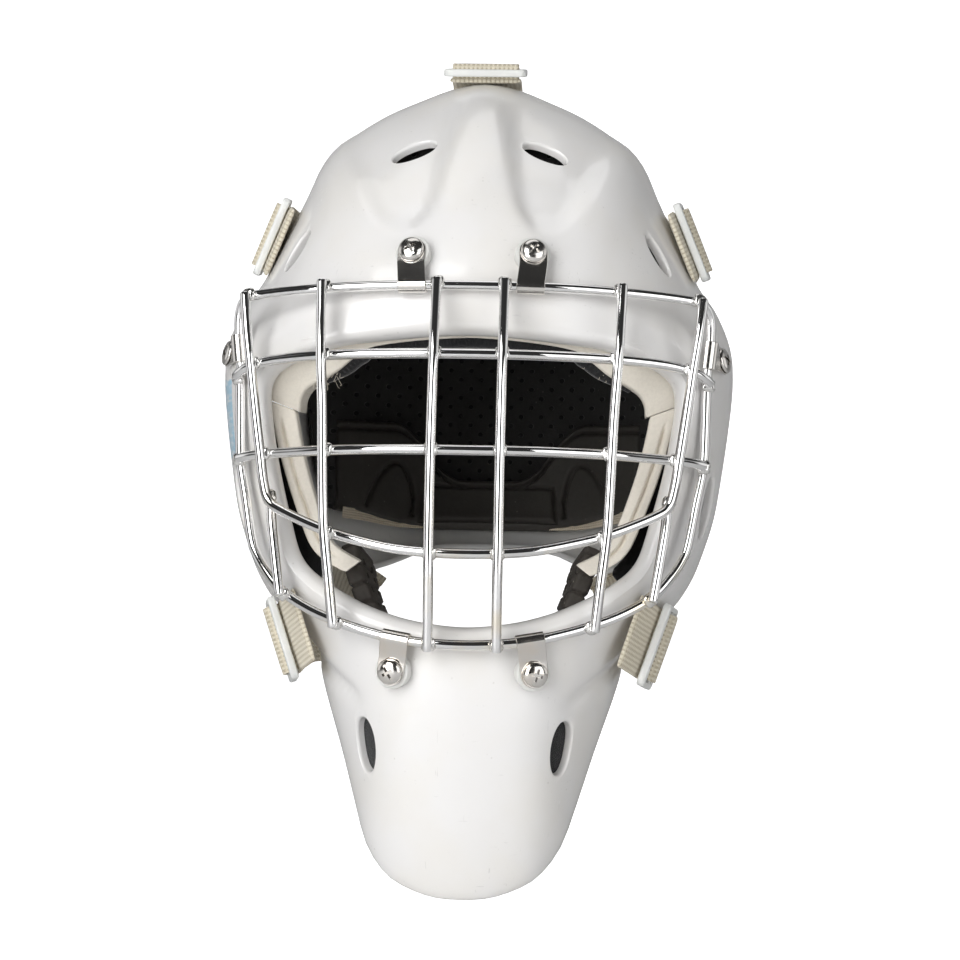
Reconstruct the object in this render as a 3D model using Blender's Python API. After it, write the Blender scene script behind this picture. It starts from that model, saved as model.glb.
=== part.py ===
"""Ice hockey goalie mask: moulded shell, chrome wire cage, back plate, elastic straps and padding.

Frame: +X to the wearer's left (to the right as seen from the front), +Y to the back of the
head, +Z up. The origin is the centre of the wearer's head. Lengths are written in millimetres
and turned into metres by the constant MM as each mesh is made.
"""
import math

import bmesh
import bpy
import numpy as np
from mathutils import Matrix, Vector
from mathutils.bvhtree import BVHTree

MM = 0.001
GAP = 0.3                      # clearance between pieces that touch
WALL = 4.0                     # thickness of the moulded shell
PLATE_WALL = 3.2               # thickness of the back plate
WIRE = 4.5                     # diameter of the cage wire
LIP_DEPTH = 9.0                # how far the opening's rolled lip turns back
LIP_WIDTH = 6.5                # its width as seen from the front

# Shell loops, right half, from the chin up to the crown: (x, y, z)
OPENING = [(0, -135, -64.4), (20, -133, -62.5), (36, -129, -58.6), (50, -123, -53), (65, -114, -44.7),
           (74.5, -107.5, -35.5), (80, -103, -19.7), (86.6, -98.5, 6.3), (90.6, -96.5, 32),
           (89.4, -97.5, 43), (82, -101, 49.8), (64, -107, 57), (44.5, -112, 60.4), (0, -116, 63.8)]
GIRTH = [(0, -123, -184.7), (14, -121.5, -183.6), (28.4, -117, -178.5), (37, -111, -172),
         (44.1, -102, -162), (48.6, -92, -150), (52.6, -84, -138), (56.6, -77, -125.6),
         (60.8, -71, -113.3), (65.3, -64, -100.5), (69.2, -57, -88.5), (73, -51, -79.5),
         (80, -42, -70), (88, -34, -62.5), (95, -31, -56), (102, -30, -44.5), (107, -31, -31.3),
         (111, -32, -18), (113.4, -33, -4.7), (117, -33, 21.8), (119.2, -30, 45), (118, -25, 63),
         (111.4, -20, 80), (102.9, -18, 92.4), (92.5, -16, 113.8), (83, -14, 134), (78, -13, 146),
         (72.4, -11, 155), (65, -9.5, 162), (55.4, -7.5, 169), (43.8, -6, 175.8), (29, -4, 182),
         (14.5, -1.5, 187.4), (0, 0, 190)]
# Rear rim of the shell, by angle above the horizontal through the head's centre: (degrees, y)
RIM_DEPTH = [(-90, -118), (-81, -98), (-77, -78), (-74, -60), (-70, -47), (-65, -38), (-57, -30),
             (-48, -19), (-42, -9), (-36, 3), (-30, 16), (-24, 26), (-15, 35), (0, 43), (15, 48),
             (27, 48), (42, 43), (56, 34), (70, 23), (80, 14), (90, 10)]
RIM_INSET = [(-90, 1.0), (-60, 1.5), (-40, 2.5), (-20, 6), (0, 7), (25, 7), (50, 4.5), (90, 1.2)]
# How steeply the skin leaves the opening's fold, by the same angle: (degrees, degrees)
FOLD_SLOPE = [(-90, 1), (-70, 4), (-55, 12), (-45, 24), (-35, 38), (-20, 47), (0, 49), (25, 47),
              (40, 32), (55, 16), (70, 8), (90, 5)]

# Edge of the back plate, right half, from the neck up to the crown: (x, y, z)
PLATE_EDGE = [(0, 101, -36), (20, 100, -36.3), (35, 97, -38.5), (47, 92, -43.5), (59, 86, -47),
              (70, 79, -44), (79, 72, -34), (87, 65, -18), (94, 60, 8), (98, 58, 42), (97.5, 56, 80),
              (90, 52, 115), (75, 47, 141), (52, 42, 159), (26, 37, 171), (0, 35, 175)]
PLATE_POLE = (126.0, 62.0)     # y and z of the plate's rearmost point

# Cage wires, right half or whole: (x, y, z) through the wire's centre
BROW_RAIL = [(0, -117.6, 85.8), (26, -116.6, 85.6), (50, -112, 85), (75, -104, 83.6),
             (94, -95, 82), (102.4, -90.5, 80.4), (106.2, -86.4, 74.5), (106.6, -85.6, 64)]
SIDE_RAIL = [(105.4, -87, 51), (105, -90, 38), (104.4, -91.6, 12), (103.4, -93, 3),
             (100.8, -96, -10), (97.4, -100.5, -28), (95, -103, -34.5)]
CHIN_RAIL = [(90, -108, -42), (82, -114, -50.5), (70, -121.5, -57.5), (57, -129, -62.6),
             (42, -135.3, -66.9), (28, -138.8, -69.8), (14, -140.8, -71.3), (0, -141.4, -71.8)]
UPPER_BAR = [(0, -132.5, 55), (30, -130.5, 54.8), (62, -120.5, 54), (86, -108.2, 52.2),
             (99, -100.9, 49.5), (104, -97.3, 47), (106.8, -93.3, 44.8)]
MIDDLE_BAR = [(0, -143, 12.9), (30, -140.5, 12.8), (60, -129, 12), (82, -114.5, 10.7),
              (93.5, -106, 9.8), (100.2, -101.4, 8.8), (104.6, -97.2, 7.8)]
U_BAR = [(103, -96.4, 82.5), (101, -102.4, 66), (98.6, -106.2, 50), (95.6, -109.8, 28),
         (93, -111.8, 10), (91.2, -113, -2), (88.6, -114.4, -10.5), (82, -118.4, -15.2),
         (62, -129.5, -23.2), (45, -137.5, -27.6), (30, -142, -30.4), (14, -144.6, -31.7),
         (0, -145.2, -32)]
OUTER_UPRIGHT = [(66.8, -112.2, 87.6), (66.3, -117, 75), (65.4, -125, 54), (64, -129, 32),
                 (63.2, -132.6, 12), (62.4, -134.8, -10), (61.6, -135.6, -24),
                 (59.4, -135.8, -44), (57, -135.2, -65.5)]
INNER_UPRIGHT = [(15, -122.3, 88.6), (15, -129, 74), (15, -137, 55), (15, -142.8, 34),
                 (15, -147.4, 12.8), (15, -149.2, -10), (15, -149.4, -32), (14.9, -148, -52),
                 (14.9, -145.6, -74.6)]
JAW_STUB = [(88.2, -108.6, -6.5), (87.4, -110.6, -20), (85, -115.4, -36), (82.2, -120.2, -52.6)]

# Crown and chin vents: name, centre in the front view (x, z), half length, half width, turn
VENTS = [("crown", 31.5, 154.5, 11.5, 5.2, -27.0), ("temple", 83.0, 104.0, 10.5, 4.6, -64.0),
         ("chin", 43.5, -118.0, 12.0, 6.6, 84.0)]
EAR_VENT = (-6.0, -66.0, 14.0, 7.0)      # angle, y, half height, half width

CLIP_WIDTH = 12.5
CLIP_THICKNESS = 0.9
CLIP_BEND = 6.4                # from the screw's axis to the fold before the hook
HOOK_RADIUS = WIRE / 2 + 0.35  # inside of the clip's hook
CLIP_SEAT = 5.7                # height of a clip's underside above the shell
TEMPLE_TURN = 26.6             # the temple screws, by angle above the horizontal
TEMPLE_DEPTH = -68.0           # and by y
TEMPLE_SEAT = 1.7              # the same at the temples, where the clips lie closer
SCREW_SHANK = 2.4
SCREW_HOLE = 2.9
SCREW_HEAD = 5.8
SPACER_RADIUS = 7.8

STRAP_WIDTH = 33.0
STRAP_THICKNESS = 2.6
SLIDE_WIDTH = 39.0
SLIDE_LENGTH = 27.0
SLIDE_THICKNESS = 3.0
RIVET_RADIUS = 5.2

HINGE_POINT = (0.0, 12.0, 193.0)         # where the top strap bends as the back plate opens


def finish(name, colour, metallic=0.0, roughness=0.5):
    """Make a plain Principled material."""
    material = bpy.data.materials.new(name)
    material.use_nodes = True
    shader = material.node_tree.nodes["Principled BSDF"]
    shader.inputs["Base Color"].default_value = (*colour, 1.0)
    shader.inputs["Metallic"].default_value = metallic
    shader.inputs["Roughness"].default_value = roughness
    return material


def add_object(name, data, material, parent=None):
    """Link a mesh or curve into the scene as one named object."""
    data.materials.append(material)
    obj = bpy.data.objects.new(name, data)
    bpy.context.scene.collection.objects.link(obj)
    if parent is not None:
        obj.parent = parent
        obj.matrix_parent_inverse = parent.matrix_world.inverted()
    return obj


def mesh_from(bm, name, smooth_angle=35.0):
    """Turn a bmesh in millimetres into a mesh in metres, with outward normals."""
    bmesh.ops.recalc_face_normals(bm, faces=bm.faces)
    bmesh.ops.scale(bm, vec=(MM, MM, MM), verts=bm.verts)
    mesh = bpy.data.meshes.new(name)
    bm.to_mesh(mesh)
    bm.free()
    mesh.shade_smooth()
    mesh.set_sharp_from_angle(angle=math.radians(smooth_angle))
    return mesh


def smooth_path(points, steps=8, closed=False):
    """Points along a Catmull-Rom curve through the given points."""
    knots = np.array(points, dtype=float)
    count = len(knots)
    if closed:
        padded = np.vstack([knots[-1:], knots, knots[:2]])
        spans = count
    else:
        first = 2 * knots[0] - knots[1]
        last = 2 * knots[-1] - knots[-2]
        padded = np.vstack([first, knots, last])
        spans = count - 1
    path = []
    for i in range(spans):
        a, b, c, d = padded[i:i + 4]
        for step in range(steps):
            t = step / steps
            path.append(0.5 * (2 * b + (c - a) * t + (2 * a - 5 * b + 4 * c - d) * t * t
                               + (3 * b - a - 3 * c + d) * t ** 3))
    if not closed:
        path.append(knots[-1])
    return np.array(path)


def mirrored(points):
    """A half outline that ends on the plane x = 0, with its mirror image added."""
    rest = [(-x, y, z) for x, y, z in reversed(points)]
    return list(points) + rest[1:]


class PolarLoop:
    """A symmetric loop around the Y axis, read by its angle above the horizontal."""

    def __init__(self, points, centre_z=0.0):
        inner = [(-points[1][0], points[1][1], points[1][2])]
        outer = [(-points[-2][0], points[-2][1], points[-2][2])]
        path = smooth_path(inner + list(points) + outer, steps=12)
        angle = np.degrees(np.arctan2(path[:, 2] - centre_z, path[:, 0]))
        keep = path[:, 0] >= -1e-6
        order = np.argsort(angle[keep])
        self.angle = angle[keep][order]
        self.radius = np.hypot(path[keep, 0], path[keep, 2] - centre_z)[order]
        self.depth = path[keep, 1][order]

    def at(self, angle):
        """Radius and y where the loop stands at an angle from -90 to 90 degrees."""
        return (float(np.interp(angle, self.angle, self.radius)),
                float(np.interp(angle, self.angle, self.depth)))


class Table:
    """A smooth function through a few (angle, value) pairs."""

    def __init__(self, pairs):
        path = smooth_path(pairs, steps=10)
        self.x = path[:, 0]
        self.y = path[:, 1]

    def at(self, x):
        return float(np.interp(x, self.x, self.y))


def ease(value):
    """Smooth step from 0 to 1."""
    value = min(max(value, 0.0), 1.0)
    return value * value * (3 - 2 * value)


def crown_relief(x, z):
    """How far the crown's two sunken panels lie under the plain skin, leaving the ridge."""
    across = abs(x)
    ridge = float(np.interp(z, [104, 118, 135, 188], [30, 20, 12, 7]))
    valley = float(np.interp(z, [112, 118, 151, 170], [44, 48, 61, 66]))
    inside = ease((across - ridge) / 10) * ease((valley - across) / 8)
    return -4.0 * inside * ease((z - 108) / 16) * (1 - ease((z - 166) / 16))


class ShellSkin:
    """The outer surface of the shell, from the opening's lip (t = -1) to the rear rim (t = 2)."""

    def __init__(self):
        self.opening = PolarLoop(OPENING)
        self.girth = PolarLoop(GIRTH)
        self.rim_depth = Table(RIM_DEPTH)
        self.rim_inset = Table(RIM_INSET)
        self.fold_slope = Table(FOLD_SLOPE)

    def plain(self, turn, t):
        """The point at an angle around the Y axis, without the crown's relief."""
        angle = math.degrees(math.asin(math.sin(math.radians(turn))))
        opening_r, opening_y = self.opening.at(angle)
        girth_r, girth_y = self.girth.at(angle)
        fold_r = opening_r + LIP_WIDTH
        if t <= 0:
            u = t + 1
            r = ((1 - u) ** 2 * opening_r + 2 * u * (1 - u) * (opening_r + 0.8) + u * u * fold_r)
            y = (1 - u) ** 2 * (opening_y + LIP_DEPTH) + 2 * u * (1 - u) * opening_y + u * u * opening_y
        elif t <= 1:
            slope = math.radians(self.fold_slope.at(angle))
            reach = 0.5 * (girth_r - fold_r) / max(math.cos(slope), 0.7)
            control_r = fold_r + reach * math.cos(slope)
            control_y = opening_y + reach * math.sin(slope)
            late_y = girth_y - 0.42 * (girth_y - opening_y)
            s = 1 - t
            r = s ** 3 * fold_r + 3 * s * s * t * control_r + (3 * s * t * t + t ** 3) * girth_r
            y = s ** 3 * opening_y + 3 * s * s * t * control_y + 3 * s * t * t * late_y + t ** 3 * girth_y
        else:
            u = t - 1
            r = girth_r - self.rim_inset.at(angle) * u * u
            y = girth_y + (self.rim_depth.at(angle) - girth_y) * u
        return Vector((r * math.cos(math.radians(turn)), y, r * math.sin(math.radians(turn))))

    def normal(self, turn, t):
        """The outward unit normal of the plain surface."""
        step = 0.01
        around = self.plain(turn + 0.5, t) - self.plain(turn - 0.5, t)
        along = self.plain(turn, min(t + step, 2)) - self.plain(turn, max(t - step, -1))
        return along.cross(around).normalized()

    def point(self, turn, t, lift=0.0):
        """A point of the surface, lifted off it along the normal."""
        base = self.plain(turn, t)
        relief = crown_relief(base.x, base.z) * (1 - ease((t - 0.6) / 0.35)) if t > 0 else 0.0
        return base + self.normal(turn, t) * (relief + lift)

    def t_at_depth(self, turn, depth):
        """The t between the fold and the rim at which the surface reaches a given y."""
        low, high = 0.0, 2.0
        for _ in range(30):
            middle = (low + high) / 2
            if self.plain(turn, middle).y < depth:
                low = middle
            else:
                high = middle
        return low

    def locate(self, x, z):
        """Turn and t of the front surface's point seen at (x, z) from the front."""
        turn = math.degrees(math.atan2(z, x))
        wanted = math.hypot(x, z)
        low, high = 0.0, 1.0
        for _ in range(30):
            middle = (low + high) / 2
            point = self.plain(turn, middle)
            if math.hypot(point.x, point.z) < wanted:
                low = middle
            else:
                high = middle
        return turn, low


class PlateSkin:
    """The outer surface of the back plate, a dome from its pole (v = 0) to its edge (v = 1)."""

    def __init__(self):
        self.edge = PolarLoop(PLATE_EDGE, PLATE_POLE[1])

    def point(self, turn, v, lift=0.0):
        """The point at an angle around the pole, lifted outward."""
        base = self.plain(turn, v)
        if lift == 0:
            return base
        step = 0.02
        around = self.plain(turn + 0.5, max(v, 0.05)) - self.plain(turn - 0.5, max(v, 0.05))
        along = self.plain(turn, v + step) - self.plain(turn, v - step)
        normal = around.cross(along).normalized()
        return base + normal * lift

    def plain(self, turn, v):
        angle = math.degrees(math.asin(math.sin(math.radians(turn))))
        edge_r, edge_y = self.edge.at(angle)
        bend = v * math.pi / 2
        r = edge_r * math.sin(bend)
        y = edge_y + (PLATE_POLE[0] - edge_y) * abs(math.cos(bend)) ** 1.15
        z = PLATE_POLE[1] + r * math.sin(math.radians(turn))
        return Vector((r * math.cos(math.radians(turn)), y, z))


def loft(rings, closed=False):
    """Join rings of points, each a closed outline, into one closed body."""
    bm = bmesh.new()
    loops = [[bm.verts.new(point) for point in ring] for ring in rings]
    size = len(loops[0])
    pairs = list(zip(loops, loops[1:]))
    if closed:
        pairs.append((loops[-1], loops[0]))
    for first, second in pairs:
        for i in range(size):
            j = (i + 1) % size
            bm.faces.new((first[i], first[j], second[j], second[i]))
    if not closed:
        bm.faces.new(loops[0])
        bm.faces.new(reversed(loops[-1]))
    return bm


def slab(surface, turns, places, near, far):
    """A closed layer over part of a surface, between two lifts off it."""
    rings = []
    for turn in turns:
        top = [surface.point(turn, place, near) for place in places]
        bottom = [surface.point(turn, place, far) for place in places]
        rings.append(top + bottom[::-1])
    return loft(rings)


def tube(name, points, material, closed=False, steps=3):
    """A round wire along a smooth curve through the given points."""
    curve = bpy.data.curves.new(name, "CURVE")
    curve.dimensions = "3D"
    curve.bevel_depth = WIRE / 2 * MM
    curve.bevel_resolution = 1
    curve.use_fill_caps = True
    spline = curve.splines.new("POLY")
    path = smooth_path(points, steps=steps, closed=closed) * MM
    spline.points.add(len(path) - 1)
    for target, point in zip(spline.points, path):
        target.co = (*point, 1.0)
    spline.use_cyclic_u = closed
    spline.use_smooth = True
    return add_object(name, curve, material)


def turned(profile, segments, frame):
    """Spin a profile of (radius, height) pairs around a frame's third axis."""
    bm = bmesh.new()
    rings = []
    for i in range(segments):
        angle = 2 * math.pi * i / segments
        ring = [Vector((r * math.cos(angle), r * math.sin(angle), h)) for r, h in profile]
        rings.append([bm.verts.new(frame @ point) for point in ring])
    for i in range(segments):
        first, second = rings[i], rings[(i + 1) % segments]
        for j in range(len(profile)):
            k = (j + 1) % len(profile)
            if profile[j][0] > 0 or profile[k][0] > 0:
                bm.faces.new((first[j], first[k], second[k], second[j]))
    bmesh.ops.remove_doubles(bm, verts=bm.verts, dist=0.001)
    return bm


def prism(outline, frame, low, high):
    """An outline of (x, y) pairs in a frame, extruded between two heights."""
    rings = [[frame @ Vector((x, y, height)) for x, y in outline] for height in (low, high)]
    return loft(rings)


def oval(half_length, half_width, count=16, power=2.3):
    """A superellipse outline."""
    points = []
    for i in range(count):
        angle = 2 * math.pi * i / count
        c, s = math.cos(angle), math.sin(angle)
        points.append((half_length * math.copysign(abs(c) ** (2 / power), c),
                       half_width * math.copysign(abs(s) ** (2 / power), s)))
    return points


def frame_at(origin, x_axis, z_axis):
    """A frame with the given third axis and, as near as it can be, first axis."""
    z = z_axis.normalized()
    x = (x_axis - z * x_axis.dot(z)).normalized()
    y = z.cross(x)
    matrix = Matrix((x, y, z)).transposed().to_4x4()
    matrix.translation = origin
    return matrix


def join_bodies(bodies):
    """Put several bmeshes into one, as separate bodies."""
    whole = bmesh.new()
    for body in bodies:
        part = bpy.data.meshes.new("part")
        bmesh.ops.recalc_face_normals(body, faces=body.faces)
        body.to_mesh(part)
        body.free()
        whole.from_mesh(part)
        bpy.data.meshes.remove(part)
    return whole


def cut(target, bm, name):
    """Cut a body, or several, out of an object with a Boolean modifier."""
    mesh = mesh_from(bm, name)
    cutter = bpy.data.objects.new(name, mesh)
    bpy.context.scene.collection.objects.link(cutter)
    cutter.hide_render = True
    cutter.display_type = "WIRE"
    modifier = target.modifiers.new(name, "BOOLEAN")
    modifier.operation = "DIFFERENCE"
    modifier.solver = "EXACT"
    modifier.object = cutter
    return cutter


class Probe:
    """Finds where straight lines meet an object's evaluated mesh, in millimetres."""

    def __init__(self, obj):
        bpy.context.view_layer.update()
        graph = bpy.context.evaluated_depsgraph_get()
        self.tree = BVHTree.FromObject(obj, graph)

    def hit(self, origin, direction):
        found = self.tree.ray_cast(origin * MM, direction.normalized(), 0.2)
        return None if found[0] is None else found[0] / MM

    def lowest(self, frame, radius, reach=30.0):
        """The least height, in a frame, of the inner wall over a ring."""
        heights = []
        for i in range(16):
            angle = 2 * math.pi * i / 16
            start = frame @ Vector((radius * math.cos(angle), radius * math.sin(angle), -reach))
            found = self.hit(start, frame.to_3x3().col[2])
            if found is not None:
                heights.append((frame.inverted() @ found).z)
        return min(heights)

    def highest(self, frame, radius, reach=30.0):
        """The greatest height, in a frame, of the surface under a ring and its centre."""
        heights = []
        for i in range(17):
            angle = 2 * math.pi * i / 16
            r = radius if i < 16 else 0.0
            start = frame @ Vector((r * math.cos(angle), r * math.sin(angle), reach))
            found = self.hit(start, -frame.to_3x3().col[2])
            if found is not None:
                heights.append((frame.inverted() @ found).z)
        return max(heights)


class Clip:
    """One steel clip with its spacer, screw and nut: where the cage is fastened."""

    def __init__(self, name, skin, rail, turn, t, seat_height, spacer_radius):
        self.name = name
        self.low = seat_height
        self.spacer_radius = spacer_radius
        self.head_height = 3.3 if seat_height > 3 else 2.0
        self.hook_radius = HOOK_RADIUS if seat_height > 3 else HOOK_RADIUS + 0.3
        self.hook_sweep = 240 if seat_height > 3 else 120
        seat = skin.point(turn, t)
        normal = skin.normal(turn, t)
        i = int(np.argmin(np.linalg.norm(rail - np.array(seat), axis=1)))
        wire = Vector(rail[i])
        along = Vector(rail[(i + 1) % len(rail)] - rail[i - 1]).normalized()
        if along.cross(normal).dot(wire - seat) < 0:
            along = -along
        self.frame = frame_at(seat, along.cross(normal), normal)
        self.hook_frame = frame_at(wire, along.cross(normal), normal - along * normal.dot(along))

    def plate(self):
        """The bent strip: a rounded flat end under the screw, then a hook round the wire."""
        half = CLIP_WIDTH / 2
        inner = self.hook_radius
        stations = []
        for s in (-6.2, -5.6, -4.2, -2.2, 0.0, CLIP_BEND):
            width = half if s > 0 else math.sqrt(max(half * half - s * s, 0.8))
            stations.append((self.frame, Vector((s, 0, self.low)), Vector((0, 0, 1)), width))
        start = self.hook_frame.inverted() @ self.frame @ Vector((CLIP_BEND, 0, self.low))
        slope = math.atan2(-start.z, -start.x) + math.asin(inner / math.hypot(start.x, start.z))
        first = 90 + math.degrees(slope)
        for angle in np.arange(first, first - self.hook_sweep - 1, -30):
            direction = Vector((math.cos(math.radians(angle)), 0, math.sin(math.radians(angle))))
            stations.append((self.hook_frame, direction * inner, direction, half))
        rings = []
        for frame, base, out, width in stations:
            top = base + out * CLIP_THICKNESS
            ring = [Vector((base.x, -width, base.z)), Vector((base.x, width, base.z)),
                    Vector((top.x, width, top.z)), Vector((top.x, -width, top.z))]
            rings.append([frame @ point for point in ring])
        return loft(rings)

    def hole(self, radius, low, high):
        """A cutter along the screw's axis."""
        return prism(oval(radius, radius, 12, 2.0), self.frame, low, high)


def clip_set(skin):
    """The six clips: two over the brow, two at the temples, two on the chin."""
    rail = smooth_path(rim_loop(), steps=12, closed=True)
    clips = []
    for side, label in ((-1, "_left"), (1, "_right")):
        for name, x, z in (("brow", 26, 99.0), ("chin", 29.5, -83.5)):
            turn, t = skin.locate(x * side, z)
            clips.append(Clip(name + label, skin, rail, turn, t, CLIP_SEAT, SPACER_RADIUS))
        turn = TEMPLE_TURN if side > 0 else 180 - TEMPLE_TURN
        t = skin.t_at_depth(turn, TEMPLE_DEPTH)
        clips.append(Clip("temple" + label, skin, rail, turn, t, TEMPLE_SEAT, 5.2))
    return clips


def make_shell(skin, clips, material):
    """The one-piece moulded shell with its rolled lip, vents and screw holes."""
    turns = [-90 + 360 * i / 52 for i in range(52)]
    places = [-1, -0.6, -0.25, 0.05, 0.2, 0.36, 0.52, 0.68, 0.84, 1.02, 1.33, 1.66, 2.0]
    bm = bmesh.new()
    columns = [[bm.verts.new(skin.point(turn, t)) for t in places] for turn in turns]
    for first, second in zip(columns, columns[1:] + columns[:1]):
        for j in range(len(places) - 1):
            bm.faces.new((first[j], second[j], second[j + 1], first[j + 1]))
    mesh = mesh_from(bm, "shell")
    shell = add_object("shell", mesh, material)
    wall = shell.modifiers.new("wall", "SOLIDIFY")
    wall.thickness = WALL * MM
    wall.offset = -1
    cutters = []
    for _, x, z, half_length, half_width, twist in VENTS:
        for side in (1, -1):
            turn, t = skin.locate(x * side, z)
            normal = skin.normal(turn, t)
            lean = math.radians(twist)
            along = Vector((math.cos(lean) * side, 0, math.sin(lean)))
            frame = frame_at(skin.point(turn, t), along, normal)
            cutters.append(prism(oval(half_length, half_width), frame, -14, 12))
    angle, depth, half_height, half_width = EAR_VENT
    for side in (1, -1):
        turn = angle if side > 0 else 180 - angle
        t = skin.t_at_depth(turn, depth)
        frame = frame_at(skin.point(turn, t), Vector((0, 0, 1)), skin.normal(turn, t))
        cutters.append(prism(oval(half_height, half_width), frame, -12, 12))
    for clip in clips:
        cutters.append(clip.hole(SCREW_HOLE, -14, 8))
    cut(shell, join_bodies(cutters), "shell_holes")
    return shell


def rim_loop():
    """The cage's rim wire, once round from the middle of the chin."""
    half = CHIN_RAIL[::-1] + SIDE_RAIL[::-1] + BROW_RAIL[::-1]
    left = [(-x, y, z) for x, y, z in reversed(half)]
    return half[:-1] + left[:-1]


def make_cage(material):
    """The welded wire cage: rim loop, cross bars, U bar and uprights."""
    tube("cage_rim_wire", rim_loop(), material, closed=True, steps=2)
    tube("cage_upper_bar", mirrored(UPPER_BAR[::-1]), material, steps=1)
    tube("cage_middle_bar", mirrored(MIDDLE_BAR[::-1]), material, steps=1)
    tube("cage_u_bar", mirrored(U_BAR), material, steps=1)
    for side, label in ((1, "right"), (-1, "left")):
        for name, points in (("outer", OUTER_UPRIGHT), ("inner", INNER_UPRIGHT), ("stub", JAW_STUB)):
            kind = "jaw_stub" if name == "stub" else name + "_upright"
            tube("cage_" + kind + "_" + label, [(x * side, y, z) for x, y, z in points], material, steps=1)


def make_hardware(clips, shell, steel, nylon):
    """Clip, spacer, screw and inner nut at each of the cage's six fixings."""
    probe = Probe(shell)
    for clip in clips:
        plate = add_object("clip_" + clip.name, mesh_from(clip.plate(), "clip_" + clip.name), steel)
        cut(plate, clip.hole(SCREW_HOLE, clip.low - 2, clip.low + 4), "clip_hole_" + clip.name)
        foot = probe.highest(clip.frame, clip.spacer_radius) + GAP
        top = clip.low - GAP
        ring = [(SCREW_HOLE, foot), (clip.spacer_radius, foot), (clip.spacer_radius, top), (SCREW_HOLE, top)]
        spacer = mesh_from(turned(ring, 16, clip.frame), "spacer_" + clip.name)
        add_object("spacer_" + clip.name, spacer, nylon)
        under = clip.low + CLIP_THICKNESS + GAP
        dome = [(0, -WALL - 8), (SCREW_SHANK, -WALL - 8), (SCREW_SHANK, under)]
        for radius, height in ((SCREW_HEAD, 0.0), (SCREW_HEAD, 0.27), (4.6, 0.73), (2.4, 0.94), (0, 1.0)):
            dome.append((radius, under + height * clip.head_height))
        screw = mesh_from(turned(dome, 12, clip.frame), "screw_" + clip.name)
        add_object("screw_" + clip.name, screw, steel)
        flange = min(7.0, clip.spacer_radius)
        head = probe.lowest(clip.frame, flange) - GAP
        shape = [(2.75, head), (flange, head), (flange, head - 1.3), (3.9, head - 1.3), (3.9, head - 5),
                 (2.75, head - 5)]
        nut = mesh_from(turned(shape, 10, clip.frame), "nut_" + clip.name)
        add_object("nut_" + clip.name, nut, steel)


def make_plate(plate, material, parent):
    """The moulded back plate behind the head."""
    turns = [-90 + 360 * i / 36 for i in range(36)]
    places = [0.16, 0.36, 0.56, 0.74, 0.88, 1.0]
    bm = bmesh.new()
    pole = bm.verts.new(plate.point(0, 0))
    columns = [[bm.verts.new(plate.point(turn, v)) for v in places] for turn in turns]
    for first, second in zip(columns, columns[1:] + columns[:1]):
        bm.faces.new((pole, second[0], first[0]))
        for j in range(len(places) - 1):
            bm.faces.new((first[j], second[j], second[j + 1], first[j + 1]))
    obj = add_object("back_plate", mesh_from(bm, "back_plate"), material, parent)
    wall = obj.modifiers.new("wall", "SOLIDIFY")
    wall.thickness = PLATE_WALL * MM
    wall.offset = -1
    return obj


class Strap:
    """An elastic strap from the shell's outside, over its rim, to the back plate."""

    def __init__(self, name, turn, lean, front, over, back_turn, slide_at):
        self.name = name
        self.turn = turn
        self.width = Vector((math.cos(math.radians(lean)), 0, math.sin(math.radians(lean))))
        self.front = front
        self.back_turn = back_turn
        self.over = over
        self.slide_at = slide_at

    def route(self, skin, plate, shell_probe, plate_probe):
        """Stations along the strap: (centre of its underside, outward normal, width direction)."""
        stations = []
        angle = math.degrees(math.asin(math.sin(math.radians(self.turn))))
        rim = skin.rim_depth.at(angle) - 0.5
        w = self.width
        for depth in np.linspace(self.front, rim + self.over, 10):
            t = skin.t_at_depth(self.turn, min(depth, rim))
            base = skin.point(self.turn, t)
            ahead = skin.point(self.turn, min(t + 0.03, 2)) - skin.point(self.turn, t - 0.03)
            normal = ahead.cross(w).normalized()
            if normal.dot(skin.normal(self.turn, t)) < 0:
                normal = -normal
            base = base + ahead.normalized() * (depth - min(depth, rim))
            stations.append(self.raised(base, normal, w, shell_probe))
        w2 = Vector((-math.sin(math.radians(self.back_turn)), 0, math.cos(math.radians(self.back_turn))))
        for v in (0.97, 0.9, 0.82):
            base = plate.point(self.back_turn, v)
            ahead = plate.point(self.back_turn, v - 0.03) - plate.point(self.back_turn, v + 0.03)
            normal = ahead.cross(w2).normalized()
            if normal.dot(base - Vector((0, 40, PLATE_POLE[1]))) < 0:
                normal = -normal
            base, normal, w2 = self.raised(base, normal, w2, plate_probe)
            stations.append((base + normal * (3.0 if v > 0.95 else 0.5), normal, w2))
        for _ in range(3):
            stations = self.cleared(self.cleared(stations, shell_probe), plate_probe)
        return stations

    @staticmethod
    def cleared(stations, probe):
        """The same stations, lifted wherever the band between two of them meets the surface."""
        lifts = [0.0] * len(stations)
        for i, (first, second) in enumerate(zip(stations, stations[1:])):
            for part in np.linspace(0.0, 1.0, 9):
                base, normal, width = (a.lerp(b, part) for a, b in zip(first, second))
                for across in np.linspace(-0.5, 0.5, 9):
                    place = base + width * (across * STRAP_WIDTH)
                    found = probe.hit(place + normal * 30, -normal)
                    if found is not None:
                        rise = (found - place).dot(normal) + GAP + 0.2
                        lifts[i] = max(lifts[i], rise)
                        lifts[i + 1] = max(lifts[i + 1], rise)
        return [(base + normal * lift, normal, width) for (base, normal, width), lift in zip(stations, lifts)]

    @staticmethod
    def raised(base, normal, width, probe):
        """A station lifted until the flat band clears the curved surface under it."""
        lift = 0.0
        for part in (-1, -0.5, 0, 0.5, 1):
            across = base + width * (part * STRAP_WIDTH / 2)
            found = probe.hit(across + normal * 30, -normal)
            if found is not None:
                lift = max(lift, (found - base).dot(normal))
        return base + normal * (lift + GAP + 0.2), normal, width


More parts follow.
